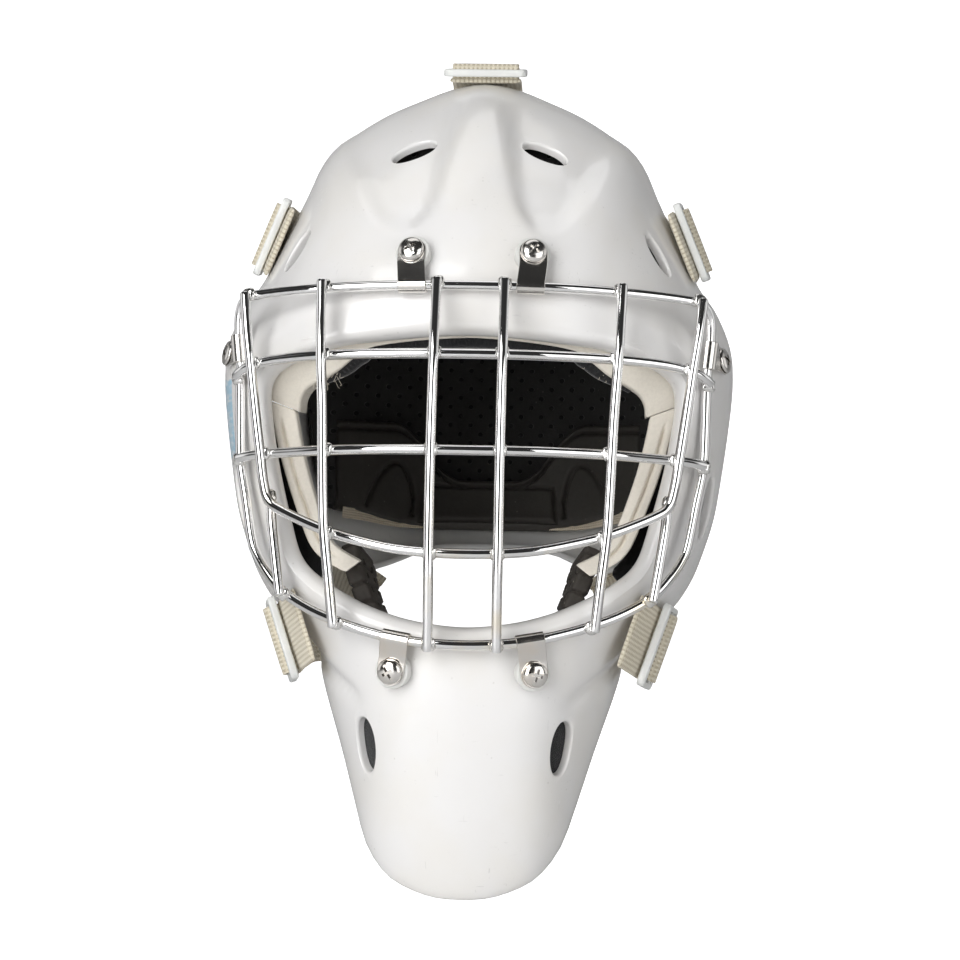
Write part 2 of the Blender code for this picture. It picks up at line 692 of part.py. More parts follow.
def band(stations, width, thickness):
    """A flat band through stations of (underside centre, normal, width direction)."""
    rings = []
    for base, normal, across in stations:
        half = across * (width / 2)
        top = normal * thickness
        rings.append([base - half, base + half, base + half + top, base - half + top])
    return loft(rings)


def smooth_stations(stations, steps):
    """More stations, on a smooth curve through the given ones."""
    points = smooth_path([s[0] for s in stations], steps)
    normals = smooth_path([s[1] for s in stations], steps)
    widths = smooth_path([s[2] for s in stations], steps)
    result = []
    for point, normal, width in zip(points, normals, widths):
        w = Vector(width).normalized()
        n = Vector(normal)
        n = (n - w * n.dot(w)).normalized()
        result.append((Vector(point), n, w))
    return result


def make_strap(strap, stations, elastic, plastic, anchor_steel, parent):
    """One strap, its slide and its anchor on the back plate."""
    fine = smooth_stations(stations, 1)
    body = add_object("strap_" + strap.name, mesh_from(band(fine, STRAP_WIDTH, STRAP_THICKNESS),
                                                       "strap_" + strap.name), elastic)
    base, normal, width = fine[strap.slide_at]
    ahead = (fine[strap.slide_at + 1][0] - fine[strap.slide_at - 1][0]).normalized()
    frame = frame_at(base, ahead, normal)
    low = STRAP_THICKNESS + GAP + slide_rise(fine, strap.slide_at, frame)
    high = low + SLIDE_THICKNESS
    rings = []
    for x, z in ((-5.6, 1.0), (-5.6, high - 0.8), (-4.6, high + 1.2), (-2.5, high + 1.9), (2.5, high + 1.9),
                 (4.6, high + 1.2), (5.6, high - 0.8), (5.6, 1.0)):
        lean = Vector((0.9 if abs(x) > 5 else 0.6 if abs(x) > 4 else 0.0, 0, 0)) * math.copysign(1, x)
        rise = Vector((0, 0, 0.0 if abs(x) > 5 else 0.7 if abs(x) > 4 else 1.0))
        inner, outer = Vector((x, 0, z)) - lean - rise * 0.9, Vector((x, 0, z)) + lean + rise * 0.9
        side = Vector((0, STRAP_WIDTH / 2 - 1, 0))
        rings.append([frame @ p for p in (inner - side, inner + side, outer + side, outer - side)])
    fold = bpy.data.objects.new("fold_" + strap.name, mesh_from(loft(rings), "fold_" + strap.name))
    bpy.context.scene.collection.objects.link(fold)
    fold.hide_render = True
    fold.display_type = "WIRE"
    union = body.modifiers.new("fold", "BOOLEAN")
    union.operation = "UNION"
    union.solver = "EXACT"
    union.object = fold
    outline = [(SLIDE_LENGTH / 2 * a, SLIDE_WIDTH / 2 * b) for a, b in
               ((-0.86, -1), (0.86, -1), (1, -0.9), (1, 0.9), (0.86, 1), (-0.86, 1), (-1, 0.9), (-1, -0.9))]
    track = bpy.data.objects.new("track_" + strap.name, None)
    track.matrix_world = frame_at(frame.translation * MM, frame.to_3x3().col[0], normal)
    bpy.context.scene.collection.objects.link(track)
    bpy.context.view_layer.update()
    mesh = mesh_from(prism(outline, frame, low, high), "slide_" + strap.name)
    slide = add_object("slide_" + strap.name, mesh, plastic, track)
    slots = []
    for centre in (-5.6, 5.6):
        slot = [(centre + 3.1 * a, (STRAP_WIDTH / 2 + 0.5) * b) for a, b in ((-1, -1), (1, -1), (1, 1), (-1, 1))]
        slots.append(prism(slot, frame, low - 2, high + 2))
    cut(slide, join_bodies(slots), "slots_" + strap.name)
    point, out, across = fine[-2]
    seat = frame_at(point, across, out)
    foot = Probe(body).highest(seat, RIVET_RADIUS) + GAP
    rivet = [(0, foot), (RIVET_RADIUS, foot), (RIVET_RADIUS, foot + 0.8), (3.6, foot + 1.8), (0, foot + 2.2)]
    add_object("rivet_" + strap.name, mesh_from(turned(rivet, 12, seat), "rivet_" + strap.name),
               anchor_steel, parent)


def slide_rise(fine, index, frame):
    """How far the strap under a slide rises above the slide's own middle."""
    inverse = frame.inverted()
    rise = 0.0
    for base, normal, _ in fine[max(index - 4, 0):index + 5]:
        local = inverse @ base
        if abs(local.x) < SLIDE_LENGTH / 2 + 2:
            rise = max(rise, local.z)
    return rise


def ring_sector(skin, turns, inner, outer, near, far):
    """A strip behind the opening's lip: radial widths inside the edge, depths behind it."""
    rings = []
    for turn in turns:
        angle = math.degrees(math.asin(math.sin(math.radians(turn))))
        radius, depth = skin.opening.at(angle)
        a, b = radius - inner(angle), radius - outer(angle)
        ring = [(a, depth + near), (b, depth + near), (b, depth + far), (a, depth + far)]
        c, s = math.cos(math.radians(turn)), math.sin(math.radians(turn))
        rings.append([Vector((r * c, y, r * s)) for r, y in ring])
    return loft(rings)


def make_padding(skin, plate, cream, black, foam, parent):
    """Liners behind the opening, jaw pads, crown pad, chin cup and the back plate's pads."""
    width = Table([(15, 13), (30, 13), (44, 12), (58, 5), (75, 3.2), (90, 3)])
    turns = np.linspace(21.0, 159.0, 26)
    bm = ring_sector(skin, turns, width.at, lambda a: -2.0, 10.0, 40.0)
    add_object("forehead_liner", mesh_from(bm, "forehead_liner"), cream)
    inner = Table([(-42, 17), (-32, 16), (-20, 13.5), (0, 12), (21, 11.5)])
    outer = Table([(-42, 9), (-32, 7), (-20, 4), (0, 1.5), (21, 1.0)])
    for side, label in ((1, "right"), (-1, "left")):
        turns = [a if side > 0 else 180 - a for a in np.linspace(20.2, -37.0, 13)]
        bm = ring_sector(skin, turns, inner.at, outer.at, 10.5, 22.0)
        add_object("cheek_liner_" + label, mesh_from(bm, "cheek_liner_" + label), cream)
        turns = [a if side > 0 else 180 - a for a in np.linspace(17.0, -35.0, 9)]
        rings = []
        for turn in turns:
            angle = math.degrees(math.asin(math.sin(math.radians(turn))))
            radius, depth = skin.opening.at(angle)
            last = skin.rim_depth.at(angle) - 6
            near, far = [], []
            for part in (0, 0.25, 0.55, 1):
                y = depth + 23.5 + (last - depth - 23.5) * part
                place = skin.t_at_depth(turn, y)
                near.append(skin.point(turn, place, -WALL - 0.9))
                top = near[-1]
                span = math.hypot(top.x, top.z)
                thick = max((span - radius) + 8, 14) if part == 0 else (17 if part < 0.3 else 13)
                scale = (span - thick) / span
                far.append(Vector((top.x * scale, top.y, top.z * scale)))
            rings.append(near + far[::-1])
        add_object("jaw_pad_" + label, mesh_from(loft(rings), "jaw_pad_" + label), black)
    turns = np.linspace(38, 142, 14)
    rings = []
    for turn in turns:
        places = [skin.t_at_depth(turn, y) for y in (-58, -40, -20, 2)]
        near = [skin.point(turn, place, -WALL - 7.0) for place in places]
        far = [skin.point(turn, place, -WALL - 16.0) for place in places]
        rings.append(near + far[::-1])
    add_object("crown_pad", mesh_from(loft(rings), "crown_pad"), black)
    make_chin_cup(foam)
    turns = np.linspace(-4, 184, 22)
    bm = slab(plate, turns, [0.12, 0.35, 0.6, 0.8, 0.93], -PLATE_WALL - 1.6, -PLATE_WALL - 8)
    add_object("back_liner", mesh_from(bm, "back_liner"), black, parent)
    make_occipital_pad(plate, foam, parent)


def make_occipital_pad(plate, material, parent):
    """The moulded pad in the lower half of the back plate."""
    rings = []
    for turn in np.linspace(-166, -14, 19):
        angle = turn
        places = [0.16, 0.4, 0.62, 0.8, 0.9]
        near = [plate.point(angle, place, -PLATE_WALL - 2.4) for place in places]
        far = [plate.point(angle, place, -PLATE_WALL - 12.0) for place in places]
        rings.append(near + far[::-1])
    add_object("occipital_pad", mesh_from(loft(rings), "occipital_pad"), material, parent)


def make_chin_cup(material):
    """The segmented chin cup: two arms behind the jaw, joined under the chin."""
    half = [(0, -80, -96), (17, -81, -92), (31, -82, -80), (40, -82, -67), (46, -80, -55),
            (50, -76, -44), (52.5, -70, -35)]
    centre = smooth_path(mirrored(half[::-1]), steps=3)
    rings = []
    for i, point in enumerate(centre):
        before = centre[max(i - 1, 0)]
        after = centre[min(i + 1, len(centre) - 1)]
        ahead = Vector(after - before).normalized()
        out = Vector((point[0], 0, point[2])).normalized()
        out = (out - ahead * out.dot(ahead)).normalized()
        deep = ahead.cross(out).normalized()
        if deep.y < 0:
            deep = -deep
        origin = Vector(point)
        rings.append([origin - out * 4.5 - deep * 12, origin + out * 4.5 - deep * 12,
                      origin + out * 4.5 + deep * 12, origin - out * 4.5 + deep * 12])
    add_object("chin_cup", mesh_from(loft(rings), "chin_cup"), material)


def build():
    """Build the whole mask."""
    for obj in list(bpy.data.objects):
        bpy.data.objects.remove(obj, do_unlink=True)
    white = finish("shell_white", (0.86, 0.86, 0.85), 0.0, 0.15)
    plate_white = finish("plate_white", (0.82, 0.82, 0.81), 0.0, 0.3)
    chrome = finish("wire_chrome", (0.80, 0.81, 0.83), 1.0, 0.08)
    nickel = finish("clip_nickel", (0.74, 0.70, 0.66), 1.0, 0.2)
    nylon = finish("spacer_nylon", (0.9, 0.9, 0.88), 0.0, 0.4)
    elastic = finish("strap_elastic", (0.70, 0.64, 0.50), 0.0, 0.9)
    plastic = finish("slide_plastic", (0.88, 0.88, 0.85), 0.0, 0.35)
    cream = finish("liner_cream", (0.75, 0.69, 0.60), 0.0, 0.8)
    black = finish("pad_black", (0.02, 0.02, 0.02), 0.0, 0.9)
    foam = finish("cup_foam", (0.06, 0.05, 0.045), 0.0, 0.8)

    skin = ShellSkin()
    plate = PlateSkin()
    clips = clip_set(skin)
    shell = make_shell(skin, clips, white)
    make_cage(chrome)
    make_hardware(clips, shell, nickel, nylon)

    hinge = bpy.data.objects.new("back_plate_hinge", None)
    hinge.location = Vector(HINGE_POINT) * MM
    bpy.context.scene.collection.objects.link(hinge)
    bpy.context.view_layer.update()
    back = make_plate(plate, plate_white, hinge)
    shell_probe = Probe(shell)
    plate_probe = Probe(back)
    straps = [Strap("crown", 90, 180, -16, 3, 90, 2),
              Strap("upper_right", 50, 112, -44, 3, 36, 2),
              Strap("upper_left", 130, 248, -44, 3, 144, 2),
              Strap("lower_right", -43.5, 72, -106, 34, -58, 2),
              Strap("lower_left", 223.5, -72, -106, 34, 238, 2)]
    for strap in straps:
        stations = strap.route(skin, plate, shell_probe, plate_probe)
        make_strap(strap, stations, elastic, plastic, nickel, hinge)
    make_padding(skin, plate, cream, black, foam, hinge)


build()
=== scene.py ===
"""Looks of an ice hockey goalie mask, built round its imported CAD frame.

Lengths inside the classes are in millimetres, in the frame's axes: +X to the wearer's left
(right as seen from the front), +Y to the back of the head, +Z up, with the origin at the
centre of the wearer's head. Each mesh is turned into metres as its object is made.
"""
from __future__ import annotations

import logging
import math
from dataclasses import dataclass, field
from enum import Enum
from typing import Any, Callable, Optional, Sequence

import bmesh
import bpy
import numpy as np
from mathutils import Matrix, Vector, noise
from mathutils.bvhtree import BVHTree


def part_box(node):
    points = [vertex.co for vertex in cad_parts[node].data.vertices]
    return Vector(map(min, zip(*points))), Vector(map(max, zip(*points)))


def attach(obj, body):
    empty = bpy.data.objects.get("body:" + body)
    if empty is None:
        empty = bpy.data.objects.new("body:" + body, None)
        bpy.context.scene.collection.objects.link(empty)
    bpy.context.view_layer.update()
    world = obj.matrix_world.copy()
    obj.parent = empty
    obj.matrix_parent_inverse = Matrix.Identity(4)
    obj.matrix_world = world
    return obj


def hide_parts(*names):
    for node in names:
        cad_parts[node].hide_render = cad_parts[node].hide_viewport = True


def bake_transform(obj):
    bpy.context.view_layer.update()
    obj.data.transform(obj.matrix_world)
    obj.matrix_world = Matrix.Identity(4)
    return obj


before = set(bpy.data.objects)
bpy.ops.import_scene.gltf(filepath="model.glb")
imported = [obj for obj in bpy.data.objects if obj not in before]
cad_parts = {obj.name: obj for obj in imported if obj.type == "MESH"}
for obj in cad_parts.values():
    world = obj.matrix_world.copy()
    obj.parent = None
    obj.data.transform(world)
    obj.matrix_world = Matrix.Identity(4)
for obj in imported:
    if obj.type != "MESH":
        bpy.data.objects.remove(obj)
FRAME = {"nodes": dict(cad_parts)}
LOG = logging.getLogger("goalie_mask")
MM = 0.001
WIRE = 4.5                     # diameter of the cage wire
WALL = 4.0                     # thickness of the moulded shell
SWELL_FRAMES = 20              # length of the cloth run that swells a pad
Triple = tuple[float, float, float]
Place = Callable[[float, float], Vector]


class Side(Enum):
    """Which side of the mask a piece is on, as seen from the front."""

    LEFT = -1
    RIGHT = 1

    @property
    def label(self) -> str:
        """The side's name, as the nodes use it."""
        return self.name.lower()


class Rider(Enum):
    """The bodies of the frame that pieces ride on."""

    MASK = "mask"
    BACK = "back_plate"


# ---------------------------------------------------------------- curves and tables


def smooth_path(points: Sequence[Sequence[float]], steps: int = 8, closed: bool = False) -> np.ndarray:
    """Points along a Catmull-Rom curve through the given points.

    Args:
        points: The knots.
        steps: Points made for each span between two knots.
        closed: Whether the curve runs back to its first knot.

    Returns:
        The points, one row each.
    """
    knots = np.array(points, dtype=float)
    if closed:
        padded = np.vstack([knots[-1:], knots, knots[:2]])
        spans = len(knots)
    else:
        padded = np.vstack([2 * knots[0] - knots[1], knots, 2 * knots[-1] - knots[-2]])
        spans = len(knots) - 1
    path = []
    for i in range(spans):
        a, b, c, d = padded[i:i + 4]
        for step in range(steps):
            t = step / steps
            path.append(0.5 * (2 * b + (c - a) * t + (2 * a - 5 * b + 4 * c - d) * t * t
                               + (3 * b - a - 3 * c + d) * t ** 3))
    if not closed:
        path.append(knots[-1])
    return np.array(path)


def mirrored(points: Sequence[Triple]) -> list[Triple]:
    """A half outline that ends on the plane x = 0, with its mirror image added."""
    return list(points) + [(-x, y, z) for x, y, z in reversed(points)][1:]


def ease(value: float) -> float:
    """Smooth step from 0 to 1."""
    value = min(max(value, 0.0), 1.0)
    return value * value * (3 - 2 * value)


def upper_angle(turn: float) -> float:
    """The angle from -90 to 90 degrees that stands for a turn on either side."""
    return math.degrees(math.asin(math.sin(math.radians(turn))))


class Table:
    """A smooth function through a few (angle, value) pairs."""

    def __init__(self, pairs: Sequence[tuple[float, float]]) -> None:
        """Store the curve through the pairs."""
        path = smooth_path(pairs, steps=10)
        self.x = path[:, 0]
        self.y = path[:, 1]

    def at(self, x: float) -> float:
        """The value at x."""
        return float(np.interp(x, self.x, self.y))


class PolarLoop:
    """A symmetric loop around the Y axis, read by its angle above the horizontal."""

    def __init__(self, points: Sequence[Triple], centre_z: float = 0.0) -> None:
        """Store radius and depth by angle.

        Args:
            points: The right half of the loop, from the bottom to the top.
            centre_z: Height of the axis the angles are measured round.
        """
        inner = [(-points[1][0], points[1][1], points[1][2])]
        outer = [(-points[-2][0], points[-2][1], points[-2][2])]
        path = smooth_path(inner + list(points) + outer, steps=12)
        angle = np.degrees(np.arctan2(path[:, 2] - centre_z, path[:, 0]))
        keep = path[:, 0] >= -1e-6
        order = np.argsort(angle[keep])
        self.angle = angle[keep][order]
        self.radius = np.hypot(path[keep, 0], path[keep, 2] - centre_z)[order]
        self.depth = path[keep, 1][order]

    def at(self, angle: float) -> tuple[float, float]:
        """Radius and y where the loop stands at an angle from -90 to 90 degrees."""
        return (float(np.interp(angle, self.angle, self.radius)),
                float(np.interp(angle, self.angle, self.depth)))


# ---------------------------------------------------------------- forms


@dataclass(frozen=True)
class ShellForm:
    """The outer surface of the shell, from the opening's lip (t = -1) to the rear rim (t = 2)."""

    opening: tuple = ((0, -135, -64.4), (20, -133, -62.5), (36, -129, -58.6), (50, -123, -53),
                      (65, -114, -44.7), (74.5, -107.5, -35.5), (80, -103, -19.7), (86.6, -98.5, 6.3),
                      (90.6, -96.5, 32), (89.4, -97.5, 43), (82, -101, 49.8), (64, -107, 57),
                      (44.5, -112, 60.4), (0, -116, 63.8))
    girth: tuple = ((0, -123, -184.7), (14, -121.5, -183.6), (28.4, -117, -178.5), (37, -111, -172),
                    (44.1, -102, -162), (48.6, -92, -150), (52.6, -84, -138), (56.6, -77, -125.6),
                    (60.8, -71, -113.3), (65.3, -64, -100.5), (69.2, -57, -88.5), (73, -51, -79.5),
                    (80, -42, -70), (88, -34, -62.5), (95, -31, -56), (102, -30, -44.5),
                    (107, -31, -31.3), (111, -32, -18), (113.4, -33, -4.7), (117, -33, 21.8),
                    (119.2, -30, 45), (118, -25, 63), (111.4, -20, 80), (102.9, -18, 92.4),
                    (92.5, -16, 113.8), (83, -14, 134), (78, -13, 146), (72.4, -11, 155),
                    (65, -9.5, 162), (55.4, -7.5, 169), (43.8, -6, 175.8), (29, -4, 182),
                    (14.5, -1.5, 187.4), (0, 0, 190))
    rim_depth: tuple = ((-90, -118), (-81, -98), (-77, -78), (-74, -60), (-70, -47), (-65, -38),
                        (-57, -30), (-48, -19), (-42, -9), (-36, 3), (-30, 16), (-24, 26), (-15, 35),
                        (0, 43), (15, 48), (27, 48), (42, 43), (56, 34), (70, 23), (80, 14), (90, 10))
    rim_inset: tuple = ((-90, 1.0), (-60, 1.5), (-40, 2.5), (-20, 6), (0, 7), (25, 7), (50, 4.5), (90, 1.2))
    fold_slope: tuple = ((-90, 1), (-70, 4), (-55, 12), (-45, 24), (-35, 38), (-20, 47), (0, 49),
                         (25, 47), (40, 32), (55, 16), (70, 8), (90, 5))
    ridge: tuple = ((90, 34), (104, 27), (118, 19), (129, 15), (147, 11.5), (175, 7.5), (195, 6))
    valley: tuple = ((90, 38), (104, 42), (118, 48), (135, 57), (151, 66), (175, 74))
    lip_depth: float = 9.0
    lip_width: float = 6.5
    tables: dict = field(default_factory=dict)

    def __post_init__(self) -> None:
        """Work out the loops and tables once."""
        self.tables.update(opening=PolarLoop(self.opening), girth=PolarLoop(self.girth),
                           depth=Table(self.rim_depth), inset=Table(self.rim_inset),
                           slope=Table(self.fold_slope), ridge=Table(self.ridge), valley=Table(self.valley))

    def lip(self, turn: float) -> tuple[float, float]:
        """Radius and y of the opening's edge at a turn."""
        return self.tables["opening"].at(upper_angle(turn))

    def rim(self, turn: float) -> float:
        """The y of the rear rim at a turn."""
        return self.tables["depth"].at(upper_angle(turn))

    def plain(self, turn: float, t: float) -> Vector:
        """The point at an angle around the Y axis, without relief."""
        angle = upper_angle(turn)
        opening_r, opening_y = self.tables["opening"].at(angle)
        girth_r, girth_y = self.tables["girth"].at(angle)
        fold_r = opening_r + self.lip_width
        if t <= 0:
            u = t + 1
            r = (1 - u) ** 2 * opening_r + 2 * u * (1 - u) * (opening_r + 0.8) + u * u * fold_r
            y = (1 - u) ** 2 * (opening_y + self.lip_depth) + (2 * u * (1 - u) + u * u) * opening_y
        elif t <= 1:
            slope = math.radians(self.tables["slope"].at(angle))
            reach = 0.5 * (girth_r - fold_r) / max(math.cos(slope), 0.7)
            control_r = fold_r + reach * math.cos(slope)
            control_y = opening_y + reach * math.sin(slope)
            late_y = girth_y - 0.42 * (girth_y - opening_y)
            s = 1 - t
            r = s ** 3 * fold_r + 3 * s * s * t * control_r + (3 * s * t * t + t ** 3) * girth_r
            y = s ** 3 * opening_y + 3 * s * s * t * control_y + 3 * s * t * t * late_y + t ** 3 * girth_y
        else:
            u = t - 1
            r = girth_r - self.tables["inset"].at(angle) * u * u
            y = girth_y + (self.tables["depth"].at(angle) - girth_y) * u
        return Vector((r * math.cos(math.radians(turn)), y, r * math.sin(math.radians(turn))))

    def normal(self, turn: float, t: float) -> Vector:
        """The outward unit normal of the plain surface."""
        step = 0.01
        around = self.plain(turn + 0.5, t) - self.plain(turn - 0.5, t)
        along = self.plain(turn, min(t + step, 2)) - self.plain(turn, max(t - step, -1))
        return along.cross(around).normalized()

    def relief(self, point: Vector, t: float) -> float:
        """Height of the moulded relief: the crown's sunken panels and the jaw's soft crease."""
        across, z = abs(point.x), point.z
        ridge, valley = self.tables["ridge"].at(z), self.tables["valley"].at(z)
        inside = ease((across - ridge) / 8.5) * ease((valley - across) / 11)
        height = -5.0 * inside * ease((z - 104) / 22) * (1 - ease((z - 174) / 16))
        height *= 1 - 0.82 * ease((t - 0.58) / 0.36) - 0.18 * ease((t - 0.95) / 0.5)
        fade = ease((z + 103) / 10) * ease((-62 - z) / 8)
        crease = -99.0 + max(across - 46, 0) * 0.72
        height -= 2.4 * fade * math.exp(-((z - crease) / 4.2) ** 2) * ease((across - 40) / 10)
        return height

    def point(self, turn: float, t: float, lift: float = 0.0) -> Vector:
        """A point of the surface, lifted off it along the normal."""
        base = self.plain(turn, t)
        relief = self.relief(base, t) if t > 0 else 0.0
        return base + self.normal(turn, t) * (relief + lift)

    def t_at_depth(self, turn: float, depth: float) -> float:
        """The t between the fold and the rim at which the surface reaches a given y."""
        return self._solve(lambda t: self.plain(turn, t).y < depth, 2.0)

    def locate(self, x: float, z: float) -> tuple[float, float]:
        """Turn and t of the front surface's point seen at (x, z) from the front."""
        turn = math.degrees(math.atan2(z, x))
        wanted = math.hypot(x, z)

        def short(t: float) -> bool:
            """Whether the surface hasn't yet come out to the wanted radius."""
            point = self.plain(turn, t)
            return math.hypot(point.x, point.z) < wanted

        return turn, self._solve(short, 1.0)

    @staticmethod
    def _solve(short: Callable[[float], bool], high: float) -> float:
        """Halve the span from 0 to high until the test changes."""
        low = 0.0
        for _ in range(30):
            middle = (low + high) / 2
            if short(middle):
                low = middle
            else:
                high = middle
        return low


@dataclass(frozen=True)
class PlateForm:
    """The outer surface of the back plate, a dome from its pole (v = 0) to its edge (v = 1)."""

    outline: tuple = ((0, 101, -36), (20, 100, -36.3), (35, 97, -38.5), (47, 92, -43.5), (59, 86, -47),
                      (70, 79, -44), (79, 72, -34), (87, 65, -18), (94, 60, 8), (98, 58, 42),
                      (97.5, 56, 80), (90, 52, 115), (75, 47, 141), (52, 42, 159), (26, 37, 171),
                      (0, 35, 175))
    pole_y: float = 126.0
    pole_z: float = 62.0
    wall: float = 3.2
    tables: dict = field(default_factory=dict)

    def __post_init__(self) -> None:
        """Work out the edge once."""
        self.tables["edge"] = PolarLoop(self.outline, self.pole_z)

    def plain(self, turn: float, v: float) -> Vector:
        """The point at an angle around the pole."""
        edge_r, edge_y = self.tables["edge"].at(upper_angle(turn))
        bend = v * math.pi / 2
        r = edge_r * math.sin(bend)
        y = edge_y + (self.pole_y - edge_y) * abs(math.cos(bend)) ** 1.15
        return Vector((r * math.cos(math.radians(turn)), y, self.pole_z + r * math.sin(math.radians(turn))))

    def point(self, turn: float, v: float, lift: float = 0.0) -> Vector:
        """The point lifted outward along the normal."""
        if v <= 0:
            return Vector((0, self.pole_y + lift, self.pole_z))
        step = 0.02
        near = max(v, 0.05)
        around = self.plain(turn + 0.5, near) - self.plain(turn - 0.5, near)
        along = self.plain(turn, near + step) - self.plain(turn, near - step)
        return self.plain(turn, v) + around.cross(along).normalized() * lift


# ---------------------------------------------------------------- mesh helpers


def warp_grid(columns: int, rows: int, place: Place,
              uv: Optional[Callable[[float, float], tuple[float, float]]] = None) -> bmesh.types.BMesh:
    """A grid with its points moved, and the seams where they meet welded.

    Args:
        columns: Cells along u.
        rows: Cells along v.
        place: Where the point (u, v) goes, with u and v from 0 to 1.
        uv: The texture position of (u, v), in millimetres along the surface.

    Returns:
        The new mesh.
    """
    bm = bmesh.new()
    bmesh.ops.create_grid(bm, x_segments=columns, y_segments=rows, size=0.5)
    layer = bm.loops.layers.uv.new("UVMap")
    for face in bm.faces:
        for loop in face.loops:
            u, v = loop.vert.co.x + 0.5, loop.vert.co.y + 0.5
            loop[layer].uv = uv(u, v) if uv else (u, v)
    for vert in bm.verts:
        vert.co = place(vert.co.x + 0.5, vert.co.y + 0.5)
    bmesh.ops.remove_doubles(bm, verts=bm.verts, dist=0.004)
    return bm


def soft_square(share: float, power: float, tall_power: Optional[float] = None) -> tuple[float, float]:
    """A point on a rounded square from -1 to 1, by share of the way round; a low power is squarer."""
    angle = 2 * math.pi * (share % 1.0)
    c, s = math.cos(angle), math.sin(angle)
    c, s = (0.0 if abs(value) < 1e-9 else value for value in (c, s))
    if tall_power is None:
        c, s = (value * (1.35 - 0.35 * abs(value)) for value in (c, s))
        size = (abs(c) ** (2 / power) + abs(s) ** (2 / power)) ** (power / 2)
        return c / size, s / size
    return (math.copysign(abs(c) ** power, c), math.copysign(abs(s) ** tall_power, s))


def cap(bm: bmesh.types.BMesh, rounding: float = 0.0, segments: int = 3) -> None:
    """Fill the open ends of a mesh and round the edges round them."""
    edges = [e for e in bm.edges if e.is_boundary]
    faces = bmesh.ops.holes_fill(bm, edges=edges)["faces"]
    if rounding:
        rim = list({e for f in faces for e in f.edges})
        bmesh.ops.bevel(bm, geom=rim, offset=rounding, segments=segments, profile=0.5,
                        affect="EDGES", material=-1)


def tube(path: np.ndarray, radius: float, sides: int = 20, closed: bool = False,
         rounding: float = 0.6) -> bmesh.types.BMesh:
    """A round wire along a path, with slightly rounded cut ends.

    Args:
        path: Points along the wire's centre.
        radius: The wire's radius.
        sides: Points round the wire.
        closed: Whether the path is a loop.
        rounding: Rounding of the cut ends.

    Returns:
        The new mesh.
    """
    count = len(path)
    frames = []
    for i in range(count):
        before = path[i - 1] if closed or i > 0 else path[i]
        after = path[(i + 1) % count] if closed or i < count - 1 else path[i]
        ahead = Vector(after - before).normalized()
        out = Vector(path[i])
        out = (out - ahead * out.dot(ahead)).normalized()
        frames.append((Vector(path[i]), out, ahead.cross(out)))
    spans = count if closed else count - 1

    def place(u: float, v: float) -> Vector:
        """A point on the wire's skin."""
        centre, out, across = frames[round(u * spans) % count]
        angle = 2 * math.pi * v
        return centre + (out * math.cos(angle) + across * math.sin(angle)) * radius

    length = float(np.linalg.norm(np.diff(path, axis=0), axis=1).sum())
    bm = warp_grid(spans, sides, place, lambda u, v: (u * length, v * 2 * math.pi * radius))
    if not closed:
        cap(bm, rounding)
    return bm


def turned(profile: Sequence[tuple[float, float]], steps: int = 48) -> bmesh.types.BMesh:
    """Spin a profile of (radius, height) pairs once round the Z axis.

    Args:
        profile: The outline from one end on the axis, or a closed outline off it.
        steps: Points round the axis.

    Returns:
        The new closed mesh.
    """
    bm = bmesh.new()
    verts = [bm.verts.new((r, 0, h)) for r, h in profile]
    pairs = list(zip(verts, verts[1:]))
    if min(r for r, _ in profile) > 0:
        pairs.append((verts[-1], verts[0]))
    edges = [bm.edges.new(pair) for pair in pairs]
    bmesh.ops.spin(bm, geom=verts + edges, axis=(0, 0, 1), cent=(0, 0, 0), angle=2 * math.pi,
                   steps=steps, use_merge=True, use_duplicate=False)
    bmesh.ops.remove_doubles(bm, verts=bm.verts, dist=0.002)
    return bm


def block(size: Triple, centre: Triple = (0, 0, 0), rounding: float = 0.0,
          segments: int = 3) -> bmesh.types.BMesh:
    """A box with rounded edges."""
    bm = bmesh.new()
    bmesh.ops.create_cube(bm, size=1.0)
    bmesh.ops.scale(bm, vec=size, verts=bm.verts)
    if rounding:
        bmesh.ops.bevel(bm, geom=bm.edges[:], offset=rounding, segments=segments, profile=0.5,
                        affect="EDGES", material=-1)
    bmesh.ops.translate(bm, vec=centre, verts=bm.verts)
    return bm


def merged(bodies: Sequence[bmesh.types.BMesh]) -> bmesh.types.BMesh:
    """Several meshes as separate bodies of one."""
    whole = bmesh.new()
    for body in bodies:
        bmesh.ops.recalc_face_normals(body, faces=body.faces)
        mesh = bpy.data.meshes.new("body")
        body.to_mesh(mesh)
        body.free()
        whole.from_mesh(mesh)
        bpy.data.meshes.remove(mesh)
    return whole


def frame_at(origin: Vector, x_axis: Vector, z_axis: Vector) -> Matrix:
    """A frame with the given third axis and, as near as it can be, first axis."""
    z = z_axis.normalized()
    x = (x_axis - z * x_axis.dot(z)).normalized()
    matrix = Matrix((x, z.cross(x), z)).transposed().to_4x4()
    matrix.translation = origin
    return matrix


